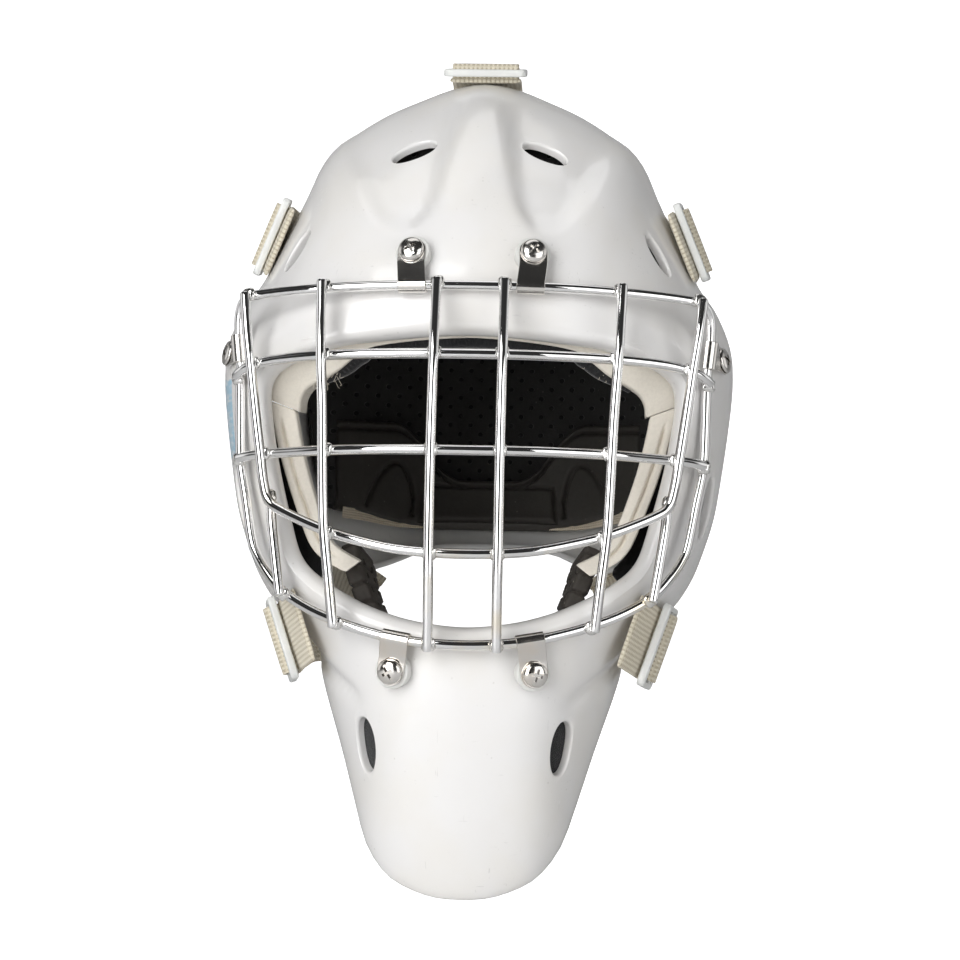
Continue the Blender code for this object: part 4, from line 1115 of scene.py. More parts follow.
@dataclass
class Cage:
    """The welded wire cage: rim loop, cross bars, U bar and uprights."""

    brow: tuple = ((0, -117.6, 85.8), (26, -116.6, 85.6), (50, -112, 85), (75, -104, 83.6),
                   (94, -95, 82), (102.4, -90.5, 80.4), (106.2, -86.4, 74.5), (106.6, -85.6, 64))
    sides: tuple = ((105.4, -87, 51), (105, -90, 38), (104.4, -91.6, 12), (103.4, -93, 3),
                    (100.8, -96, -10), (97.4, -100.5, -28), (95, -103, -34.5))
    chin: tuple = ((90, -108, -42), (82, -114, -50.5), (70, -121.5, -57.5), (57, -129, -62.6),
                   (42, -135.3, -66.9), (28, -138.8, -69.8), (14, -140.8, -71.3), (0, -141.4, -71.8))
    upper_bar: tuple = ((0, -132.5, 55), (30, -130.5, 54.8), (62, -120.5, 54), (86, -108.2, 52.2),
                        (99, -100.9, 49.5), (104, -97.3, 47), (106.8, -93.3, 44.8))
    middle_bar: tuple = ((0, -143, 12.9), (30, -140.5, 12.8), (60, -129, 12), (82, -114.5, 10.7),
                         (93.5, -106, 9.8), (100.2, -101.4, 8.8), (104.6, -97.2, 7.8))
    u_bar: tuple = ((103, -96.4, 82.5), (101, -102.4, 66), (98.6, -106.2, 50), (95.6, -109.8, 28),
                    (93, -111.8, 10), (91.2, -113, -2), (88.6, -114.4, -10.5), (82, -118.4, -15.2),
                    (62, -129.5, -23.2), (45, -137.5, -27.6), (30, -142, -30.4), (14, -144.6, -31.7),
                    (0, -145.2, -32))
    outer: tuple = ((66.8, -112.2, 87.6), (66.3, -117, 75), (65.4, -125, 54), (64, -129, 32),
                    (63.2, -132.6, 12), (62.4, -134.8, -10), (61.6, -135.6, -24),
                    (59.4, -135.8, -44), (57, -135.2, -65.5))
    inner: tuple = ((15, -122.3, 88.6), (15, -129, 74), (15, -137, 55), (15, -142.8, 34),
                    (15, -147.4, 12.8), (15, -149.2, -10), (15, -149.4, -32), (14.9, -148, -52),
                    (14.9, -145.6, -74.6))
    stub: tuple = ((88.2, -108.6, -6.5), (87.4, -110.6, -20), (85, -115.4, -36), (82.2, -120.2, -52.6))

    def rim(self) -> list[Triple]:
        """The rim wire's knots, once round from the middle of the chin."""
        half = list(self.chin[::-1] + self.sides[::-1] + self.brow[::-1])
        left = [(-x, y, z) for x, y, z in reversed(half)]
        return half[:-1] + left[:-1]

    def wires(self) -> dict[str, tuple[np.ndarray, bool]]:
        """Every wire's fine path by node name, and whether it is a loop."""
        found = {
            "cage_rim_wire": (smooth_path(self.rim(), 8, closed=True), True),
            "cage_upper_bar": (smooth_path(mirrored(self.upper_bar[::-1]), 8), False),
            "cage_middle_bar": (smooth_path(mirrored(self.middle_bar[::-1]), 8), False),
            "cage_u_bar": (smooth_path(mirrored(self.u_bar), 8), False),
        }
        for side in Side:
            for name, points in (("outer_upright", self.outer), ("inner_upright", self.inner),
                                 ("jaw_stub", self.stub)):
                half = [(x * side.value, y, z) for x, y, z in points]
                found[f"cage_{name}_{side.label}"] = (smooth_path(half, 8), False)
        return found

    def build(self, chrome: bpy.types.Material, weld: bpy.types.Material) -> None:
        """Make the wires and the weld beads where they cross.

        Args:
            chrome: Finish of the wires.
            weld: Finish of the beads.
        """
        wires = self.wires()
        for name, (path, closed) in wires.items():
            obj = as_object(name.replace("cage_", "wire_"), tube(path, WIRE / 2, 24, closed, 0.7), chrome)
            show(obj, Rider.MASK.value, "wire_chrome", name)
        beads = []
        names = list(wires)
        for i, first in enumerate(names):
            for second in names[i + 1:]:
                for spot in self.crossings(wires[first][0], wires[second][0]):
                    beads.append(self.bead(*spot, seed=len(beads)))
        show(as_object("cage_weld_beads", merged(beads), weld, smooth=60), Rider.MASK.value, "wire_chrome")

    @staticmethod
    def crossings(first: np.ndarray, second: np.ndarray) -> list[tuple[Vector, Vector, Vector]]:
        """Where two wires touch.

        Args:
            first: Points along one wire.
            second: Points along the other.

        Returns:
            For each place, its middle, the way from one wire to the other, and the first wire's way.
        """
        fine = [np.vstack([a + (b - a) * k / 4 for a, b in zip(p, p[1:]) for k in range(4)]) for p in (first, second)]
        gaps = np.linalg.norm(fine[0][:, None] - fine[1][None], axis=2)
        spots: list[tuple[Vector, Vector, Vector]] = []
        for _ in range(4):
            i, j = np.unravel_index(np.argmin(gaps), gaps.shape)
            if gaps[i, j] > WIRE + 1.7:
                break
            a, b = fine[0][i], fine[1][j]
            ahead = Vector(fine[0][min(i + 1, len(fine[0]) - 1)] - fine[0][max(i - 1, 0)])
            spots.append((Vector((a + b) / 2), Vector(b - a).normalized(), ahead.normalized()))
            near = np.linalg.norm(fine[0] - a, axis=1) < 14
            gaps[near] = 99
        return spots

    @staticmethod
    def bead(middle: Vector, between: Vector, ahead: Vector, seed: int) -> bmesh.types.BMesh:
        """A weld bead: a flat lump that fills the corners of a crossing."""
        bm = bmesh.new()
        bmesh.ops.create_icosphere(bm, subdivisions=3, radius=1.0)
        seat = frame_at(middle, ahead, between)
        for vert in bm.verts:
            way = vert.co.copy()
            lump = 1 + 0.12 * noise.noise(way * 1.7 + Vector((seed, 0, 0)))
            corner = abs(way.x * way.y) * 1.5
            vert.co = seat @ Vector((way.x * (2.9 + corner), way.y * (2.9 + corner), way.z * 1.9)) * 1.0
            vert.co = middle + (vert.co - middle) * lump
        return bm


# ---------------------------------------------------------------- clips, screws, spacers, nuts


@dataclass
class Fixing:
    """One clip with its screw, spacer and nut: where the cage is fastened to the shell."""

    name: str
    skin: ShellForm
    rail: np.ndarray
    turn: float
    t: float
    seat_height: float
    spacer_radius: float
    width: float = 12.5
    thickness: float = 0.9
    bend: float = 6.4
    gap: float = 0.3
    head_radius: float = 5.8

    def __post_init__(self) -> None:
        """Find the screw's frame and the hook's frame."""
        temple = self.seat_height < 3
        self.head_height = 2.0 if temple else 3.3
        self.hook_radius = WIRE / 2 + (0.65 if temple else 0.35)
        self.hook_sweep = 120 if temple else 240
        seat = self.skin.point(self.turn, self.t)
        normal = self.skin.normal(self.turn, self.t)
        i = int(np.argmin(np.linalg.norm(self.rail - np.array(seat), axis=1)))
        wire = Vector(self.rail[i])
        along = Vector(self.rail[(i + 1) % len(self.rail)] - self.rail[i - 1]).normalized()
        if along.cross(normal).dot(wire - seat) < 0:
            along = -along
        self.frame = frame_at(seat, along.cross(normal), normal)
        self.hook_frame = frame_at(wire, along.cross(normal), normal - along * normal.dot(along))

    def strip(self) -> bmesh.types.BMesh:
        """The bent strip: a rounded flat end under the screw, a fold, then a hook round the wire."""
        half = self.width / 2
        stations = []
        low = self.seat_height
        for s in (-6.2, -6.05, -5.6, -4.9, -3.8, -2.4, -0.8, 0.8, 2.8, 4.6, self.bend - 0.6):
            wide = half if s > 0 else math.sqrt(max(half * half - s * s, 1.2))
            stations.append((self.frame @ Vector((s, 0, low)), self.frame.to_3x3() @ Vector((0, 0, 1)),
                             self.frame.to_3x3().col[1], wide))
        start = self.hook_frame.inverted() @ self.frame @ Vector((self.bend, 0, low))
        slope = math.atan2(-start.z, -start.x) + math.asin(self.hook_radius / math.hypot(start.x, start.z))
        first = 90 + math.degrees(slope)
        turn = self.hook_frame.to_3x3()
        for angle in np.arange(first, first - self.hook_sweep - 1, -12):
            way = Vector((math.cos(math.radians(angle)), 0, math.sin(math.radians(angle))))
            stations.append((self.hook_frame @ (way * self.hook_radius), turn @ way, turn.col[1], half))
        t, soft = self.thickness, 0.22
        section = ((-1, soft, 0, 0), (-1, 0, soft, 0), (1, 0, -soft, 0), (1, soft, 0, 0), (1, t - soft, 0, 0),
                   (1, t, -soft, 0), (-1, t, soft, 0), (-1, t - soft, 0, 0))
        spans, around = len(stations) - 1, len(section)

        def place(u: float, v: float) -> Vector:
            """A point on the strip."""
            base, out, across, wide = stations[round(u * spans)]
            sign, height, inward, _ = section[round(v * around) % around]
            return base + out * height + across.normalized() * (sign * wide + inward)

        bm = warp_grid(spans, around, place)
        cap(bm)
        return bm

    def build(self, probe: Probe, palette: Palette) -> None:
        """Make the clip, screw and spacer, and dress the nut.

        Args:
            probe: Finds the shell's surface.
            palette: The finishes.
        """
        clip = as_object(f"steel_clip_{self.name}", self.strip(), palette["nickel"], smooth=50)
        hole = turned(((0, self.seat_height - 2), (2.9, self.seat_height - 2), (2.9, self.seat_height + 4),
                       (0, self.seat_height + 4)), 32)
        bmesh.ops.transform(hole, matrix=self.frame, verts=hole.verts)
        carve(clip, hole)
        show(clip, Rider.MASK.value, "clip_nickel", f"clip_{self.name}")
        self.make_screw(palette["nickel"])
        self.make_spacer(probe, palette["nylon"])
        nut = frame_nodes()[f"nut_{self.name}"]
        nut.data.materials.clear()
        nut.data.materials.append(palette["nickel"])

    def make_screw(self, steel: bpy.types.Material) -> None:
        """A truss-head screw with a slot and a cross recess."""
        under = self.seat_height + self.thickness + self.gap
        rise = self.head_height
        profile = [(0, -WALL - 8), (1.9, -WALL - 8), (2.4, -WALL - 7.4), (2.4, under)]
        for angle in np.linspace(0, 90, 12):
            a = math.radians(angle)
            profile.append((self.head_radius * (0.04 + 0.96 * math.cos(a) ** 0.8) if angle < 90 else 0.0,
                            under + 0.35 + (rise - 0.35) * math.sin(a)))
        profile.insert(4, (self.head_radius - 0.2, under))
        bm = turned(profile, 56)
        screw = as_object(f"truss_screw_{self.name}", bm, steel, smooth=34)
        top = under + rise
        twist = Matrix.Rotation(math.radians(sum(map(ord, self.name)) * 37 % 180), 4, "Z")
        for size, low in (((9.4, 1.15, 2.0), 0.55), ((1.25, 5.4, 3.0), 1.45), ((5.4, 1.25, 3.0), 1.45)):
            cutter = block(size, (0, 0, top - low + size[2] / 2), 0.0)
            bmesh.ops.transform(cutter, matrix=twist, verts=cutter.verts)
            carve(screw, cutter)
        mesh = screw.data
        mesh.transform(Matrix.Scale(MM, 4) @ self.frame @ Matrix.Scale(1 / MM, 4))
        show(screw, Rider.MASK.value, "clip_nickel", f"screw_{self.name}")

    def make_spacer(self, probe: Probe, nylon: bpy.types.Material) -> None:
        """The nylon disc between the shell and the clip."""
        inverse = self.frame.inverted()
        heights = []
        for i in range(17):
            angle = 2 * math.pi * i / 16
            r = self.spacer_radius if i < 16 else 0.0
            start = self.frame @ Vector((r * math.cos(angle), r * math.sin(angle), 30))
            found = probe.hit(start, -self.frame.to_3x3().col[2])
            if found is not None:
                heights.append((inverse @ found).z)
        foot, top = max(heights) + self.gap, self.seat_height - self.gap
        r, soft = self.spacer_radius, min(0.6, (top - foot) / 3)
        ring = [(2.9, foot), (r - soft, foot), (r - 0.3 * soft, foot + 0.3 * soft), (r, foot + soft), (r, top - soft),
                (r - 0.3 * soft, top - 0.3 * soft), (r - soft, top), (2.9, top)]
        bm = turned(ring, 56)
        bmesh.ops.transform(bm, matrix=self.frame, verts=bm.verts)
        spacer = as_object(f"nylon_spacer_{self.name}", bm, nylon, smooth=50)
        show(spacer, Rider.MASK.value, "spacer_nylon", f"spacer_{self.name}")


def fixings(skin: ShellForm, cage: Cage) -> list[Fixing]:
    """The six fixings: two over the brow, two at the temples, two on the chin."""
    rail = smooth_path(cage.rim(), steps=12, closed=True)
    found = []
    for side in Side:
        for name, x, z in (("brow", 26, 99.0), ("chin", 29.5, -83.5)):
            turn, t = skin.locate(x * side.value, z)
            found.append(Fixing(f"{name}_{side.label}", skin, rail, turn, t, 5.7, 7.8))
        turn = 26.6 if side is Side.RIGHT else 180 - 26.6
        found.append(Fixing(f"temple_{side.label}", skin, rail, turn, skin.t_at_depth(turn, -68.0), 1.7, 5.2))
    return found


# ---------------------------------------------------------------- straps


Station = tuple[Vector, Vector, Vector]


def fine_stations(stations: Sequence[Station], steps: int) -> list[Station]:
    """More stations, on a smooth curve through the given ones."""
    points, normals, widths = (smooth_path([s[k] for s in stations], steps) for k in range(3))
    result = []
    for point, normal, width in zip(points, normals, widths):
        across = Vector(width).normalized()
        out = Vector(normal)
        out = (out - across * out.dot(across)).normalized()
        result.append((Vector(point), out, across))
    return result


def webbing(stations: Sequence[Station], width: float, thickness: float, scallop: float = 0.3,
            pitch: float = 2.2, wave: float = 0.0) -> bmesh.types.BMesh:
    """A knit band along stations, with soft edges that follow its stitches.

    Args:
        stations: (Underside centre, outward normal, width direction) along the band.
        width: The band's width.
        thickness: Its thickness.
        scallop: Depth of the edge's stitches.
        pitch: Length of one stitch.
        wave: Height of the slow ripple of a slack edge.

    Returns:
        The closed band, mapped in metres along and across.
    """
    run = [0.0]
    for a, b in zip(stations, stations[1:]):
        run.append(run[-1] + (b[0] - a[0]).length)
    spans = max(int(run[-1] / (pitch / 5)), 8)
    around = 24
    line = np.linspace(0, run[-1], spans + 1)
    fields = [np.array([tuple(s[k]) for s in stations]) for k in range(3)]
    rows = [[np.interp(line, run, f[:, axis]) for axis in range(3)] for f in fields]

    def section(v: float) -> tuple[float, float]:
        """Share of the half width, and share of the thickness, round the band."""
        share, height = soft_square(v, 0.3, 0.6)
        return share, 0.5 + 0.5 * height

    def place(u: float, v: float) -> Vector:
        """A point on the band."""
        i = round(u * spans)
        base, out, across = (Vector([row[axis][i] for axis in range(3)]) for row in rows)
        share, height = section(v)
        edge = max(abs(share) - 0.86, 0) / 0.14
        ripple = scallop * math.sin(2 * math.pi * line[i] / pitch) * edge
        slack = wave * edge * math.sin(2 * math.pi * line[i] / 9.0 + (2 if share > 0 else 0))
        ends = min(line[i], run[-1] - line[i])
        thin = 0.55 + 0.45 * min(ends / 1.2, 1)
        return (base + across.normalized() * (share * width / 2 + math.copysign(ripple, share))
                + out.normalized() * (thickness * (0.5 + (height - 0.5) * thin) + max(slack, 0)))

    def spread(u: float, v: float) -> tuple[float, float]:
        """Distance along and across the band, in metres."""
        return (u * run[-1] * MM, section(v)[0] * width / 2 * MM)

    bm = warp_grid(spans, around, place, spread)
    cap(bm)
    return bm


@dataclass
class Strap:
    """An elastic strap from the shell over its rim to the back plate, with its slide and rivet."""

    name: str
    turn: float
    lean: float
    front: float
    over: float
    back_turn: float
    slide_at: int = 2
    width: float = 33.0
    thickness: float = 2.6
    slide_size: Triple = (27.0, 39.0, 3.6)
    gap: float = 0.3

    def route(self, skin: ShellForm, plate: PlateForm, shell: Probe, back: Probe) -> list[Station]:
        """Stations from the front end over the rim to the back plate.

        Args:
            skin: The shell's form.
            plate: The back plate's form.
            shell: Finds the shell's surface.
            back: Finds the plate's surface.

        Returns:
            The stations, clear of both surfaces.
        """
        stations = []
        rim = skin.rim(self.turn) - 0.5
        lean = math.radians(self.lean)
        across = Vector((math.cos(lean), 0, math.sin(lean)))
        for depth in np.linspace(self.front, rim + self.over, 10):
            t = skin.t_at_depth(self.turn, min(depth, rim))
            base = skin.point(self.turn, t)
            ahead = skin.point(self.turn, min(t + 0.03, 2)) - skin.point(self.turn, t - 0.03)
            normal = ahead.cross(across).normalized()
            if normal.dot(skin.normal(self.turn, t)) < 0:
                normal = -normal
            base = base + ahead.normalized() * (depth - min(depth, rim))
            stations.append(self.raised(base, normal, across, shell))
        turn = math.radians(self.back_turn)
        across = Vector((-math.sin(turn), 0, math.cos(turn)))
        for v in (0.97, 0.9, 0.82):
            base = plate.plain(self.back_turn, v)
            ahead = plate.plain(self.back_turn, v - 0.03) - plate.plain(self.back_turn, v + 0.03)
            normal = ahead.cross(across).normalized()
            if normal.dot(base - Vector((0, 40, plate.pole_z))) < 0:
                normal = -normal
            base, normal, across = self.raised(base, normal, across, back)
            stations.append((base + normal * (3.0 if v > 0.95 else 0.5), normal, across))
        for _ in range(3):
            stations = self.cleared(self.cleared(stations, shell), back)
        return stations

    def cleared(self, stations: list[Station], probe: Probe) -> list[Station]:
        """The same stations, lifted wherever the band between two of them meets the surface."""
        lifts = [0.0] * len(stations)
        for i, (first, second) in enumerate(zip(stations, stations[1:])):
            for part in np.linspace(0.0, 1.0, 9):
                base, normal, width = (a.lerp(b, part) for a, b in zip(first, second))
                for across in np.linspace(-0.5, 0.5, 9):
                    place = base + width * (across * self.width)
                    found = probe.hit(place + normal * 30, -normal)
                    if found is not None:
                        rise = (found - place).dot(normal) + self.gap + 0.2
                        lifts[i], lifts[i + 1] = max(lifts[i], rise), max(lifts[i + 1], rise)
        return [(base + normal * lift, normal, width) for (base, normal, width), lift in zip(stations, lifts)]

    def raised(self, base: Vector, normal: Vector, width: Vector, probe: Probe) -> Station:
        """A station lifted until the flat band clears the curved surface under it."""
        lift = 0.0
        for part in (-1, -0.5, 0, 0.5, 1):
            found = probe.hit(base + width * (part * self.width / 2) + normal * 30, -normal)
            if found is not None:
                lift = max(lift, (found - base).dot(normal))
        return base + normal * (lift + self.gap + 0.2), normal, width

    def build(self, skin: ShellForm, plate: PlateForm, shell: Probe, back: Probe, palette: Palette) -> None:
        """Make the strap, its hump, slide and rivet.

        Args:
            skin: The shell's form.
            plate: The back plate's form.
            shell: Finds the shell's surface.
            back: Finds the plate's surface.
            palette: The finishes.
        """
        stations = self.route(skin, plate, shell, back)
        fine = fine_stations(stations, 8)
        band = as_object(f"elastic_strap_{self.name}", webbing(fine, self.width, self.thickness),
                         palette["elastic"], smooth=70)
        start, end = fine[72][0] - Vector((0, 4, 0)), fine[88][0]
        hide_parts(f"strap_{self.name}")
        rim_y = skin.rim(self.turn)
        tuple(Vector((start.x, max(start.y, rim_y), start.z)) * MM)
        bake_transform(band)
        LOG.info("%s: strap between mask and back plate", band.name)
        base, normal, width = stations[self.slide_at]
        ahead = (stations[self.slide_at + 1][0] - stations[self.slide_at - 1][0]).normalized()
        seat = frame_at(base, ahead, normal)
        rise = 0.0
        for point, _, _ in stations[max(self.slide_at - 4, 0):self.slide_at + 5]:
            local = seat.inverted() @ point
            if abs(local.x) < self.slide_size[0] / 2 + 2:
                rise = max(rise, local.z)
        low = self.thickness + self.gap + rise
        self.make_slide(seat, low, palette["slide"])
        self.make_hump(seat, low, palette["elastic"])
        point, out, across = stations[-2]
        self.make_rivet(frame_at(point, across, out), palette["nickel"])

    def make_slide(self, seat: Matrix, low: float, plastic: bpy.types.Material) -> None:
        """The tri-glide slide: a rounded plate with two slots and a raised middle bar."""
        long, wide, tall = self.slide_size
        bm = block((long, wide, tall), (0, 0, low + tall / 2), 0.0)
        uprights = [e for e in bm.edges if abs(e.verts[0].co.z - e.verts[1].co.z) > 1]
        bmesh.ops.bevel(bm, geom=uprights, offset=3.0, segments=6, profile=0.5, affect="EDGES", material=-1)
        flat = [e for e in bm.edges if abs(e.verts[0].co.z - e.verts[1].co.z) < 0.01]
        bmesh.ops.bevel(bm, geom=flat, offset=0.9, segments=3, profile=0.5, affect="EDGES", material=-1)
        slide = as_object(f"strap_slide_{self.name}", bm, plastic, smooth=40)
        slots = []
        for centre in (-5.6, 5.6):
            slot = block((6.2, self.width + 1, tall + 6), (centre, 0, low + tall / 2), 0.0)
            edges = [e for e in slot.edges if abs(e.verts[0].co.z - e.verts[1].co.z) > 1]
            bmesh.ops.bevel(slot, geom=edges, offset=0.8, segments=3, profile=0.5, affect="EDGES", material=-1)
            slots.append(slot)
        carve(slide, merged(slots))
        slide.data.transform(Matrix.Scale(MM, 4) @ seat @ Matrix.Scale(1 / MM, 4))
        show(slide, f"slide_{self.name}_body", "slide_plastic", f"slide_{self.name}")

    def make_hump(self, seat: Matrix, low: float, elastic: bpy.types.Material) -> None:
        """The elastic where it comes up through one slot, over the bar and down the other."""
        high = low + self.slide_size[2]
        profile = smooth_path(((-5.4, 0, 1.6), (-5.4, 0, high - 1.2), (-4.4, 0, high + 1.0), (-2.2, 0, high + 1.7),
                               (0, 0, high + 1.8), (2.2, 0, high + 1.7), (4.4, 0, high + 1.0), (5.4, 0, high - 1.2),
                               (5.4, 0, 1.6)), 5)
        turn = seat.to_3x3()
        stations = []
        for i, point in enumerate(profile):
            ahead = Vector(profile[min(i + 1, len(profile) - 1)] - profile[max(i - 1, 0)]).normalized()
            out = ahead.cross(Vector((0, 1, 0)))
            if out.z < 0 and abs(point[0]) < 4.5 or out.x * point[0] < 0 and abs(point[0]) >= 4.5:
                out = -out
            stations.append((seat @ (Vector(point) - out * 0.85), turn @ out, turn.col[1].copy()))
        bm = webbing(stations, self.width - 2, 1.7, 0.35, 2.2, 0.4)
        hump = as_object(f"elastic_hump_{self.name}", bm, elastic, smooth=70)
        show(hump, f"slide_{self.name}_body", "strap_elastic")

    def make_rivet(self, seat: Matrix, steel: bpy.types.Material) -> None:
        """The domed rivet that holds the strap's end on the back plate."""
        lo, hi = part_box(f"rivet_{self.name}")
        middle = (lo + hi) / 2 / MM
        foot = (seat.inverted() @ middle).z - 1.1
        profile = [(0, foot), (5.0, foot), (5.2, foot + 0.2), (5.2, foot + 0.7), (4.9, foot + 1.1), (4.3, foot + 1.5),
                   (3.2, foot + 1.9), (1.6, foot + 2.15), (0, foot + 2.2)]
        bm = turned(profile, 40)
        bmesh.ops.transform(bm, matrix=seat, verts=bm.verts)
        rivet = as_object(f"strap_rivet_{self.name}", bm, steel, smooth=45)
        show(rivet, Rider.BACK.value, "clip_nickel", f"rivet_{self.name}")


# ---------------------------------------------------------------- padding


def bar_loft(columns: int, around: int, centre: Callable[[float], Vector],
             halves: Callable[[float], tuple[Vector, Vector]], power: float = 0.35,
             press: Optional[Callable[[float, float, float], float]] = None) -> bmesh.types.BMesh:
    """A soft bar with a rounded-rectangle section.

    Args:
        columns: Cells along the bar.
        around: Cells round its section.
        centre: The middle of the section by share of the length.
        halves: Half its width and half its height, as vectors, by share of the length.
        power: Squareness: the lower, the squarer.
        press: How far the surface goes in, by share of the length and place on the section.

    Returns:
        The closed bar.
    """

    def place(u: float, v: float) -> Vector:
        """A point on the bar."""
        a, b = halves(u)
        x, y = soft_square(v, power)
        end = min(u, 1 - u) * columns
        shrink = 1.0 if end > 2 else (0.93, 0.975, 0.993)[round(end)]
        sunk = press(u, x, y) if press else 0.0
        return centre(u) + a * x * shrink + b * y * shrink - (b.normalized() * math.copysign(1, y) * sunk)

    bm = warp_grid(columns, around, place, lambda u, v: (u * 0.2, v * 0.05))
    cap(bm)
    return bm


def soft_copy(node: str, name: str, material: bpy.types.Material, voxel: float = 2.0,
              rounds: int = 14) -> bpy.types.Object:
    """A rounded copy of a CAD pad.

    Args:
        node: The CAD node.
        name: The new piece's name.
        material: Its finish.
        voxel: Size of the remesh, in millimetres.
        rounds: How often the surface is smoothed.

    Returns:
        The copy, with its modifiers applied.
    """
    bm = bmesh.new()
    bm.from_mesh(frame_nodes()[node].data)
    bmesh.ops.scale(bm, vec=(1 / MM,) * 3, verts=bm.verts)
    bmesh.ops.remove_doubles(bm, verts=bm.verts, dist=0.01)
    obj = as_object(name, bm, material)
    modify(obj, "REMESH", mode="VOXEL", voxel_size=voxel * MM, use_smooth_shade=True)
    modify(obj, "SMOOTH", factor=0.6, iterations=rounds)
    settle(obj, 80)
    return obj


def puffed(obj: bpy.types.Object, pressure: float, reach: float) -> None:
    """Swell a pad with a short cloth run, no point moving further than the reach in millimetres."""
    scene = bpy.context.scene
    start = [v.co.copy() for v in obj.data.vertices]
    cloth = obj.modifiers.new("cloth", "CLOTH")
    cloth.settings.use_pressure = True
    cloth.settings.uniform_pressure_force = pressure
    cloth.settings.effector_weights.gravity = 0.0
    cloth.point_cache.frame_start = 1
    cloth.point_cache.frame_end = SWELL_FRAMES
    for number in range(1, SWELL_FRAMES + 1):
        scene.frame_set(number)
    graph = bpy.context.evaluated_depsgraph_get()
    shape = obj.evaluated_get(graph).to_mesh()
    moved = [v.co.copy() for v in shape.vertices]
    obj.evaluated_get(graph).to_mesh_clear()
    obj.modifiers.clear()
    scene.frame_set(1)
    for vert, old, new in zip(obj.data.vertices, start, moved):
        step = new - old
        if step.length > reach * MM:
            step = step.normalized() * reach * MM
        vert.co = old + step


def frame_nodes() -> dict[str, bpy.types.Object]:
    """The CAD nodes by name."""
    return FRAME["nodes"]


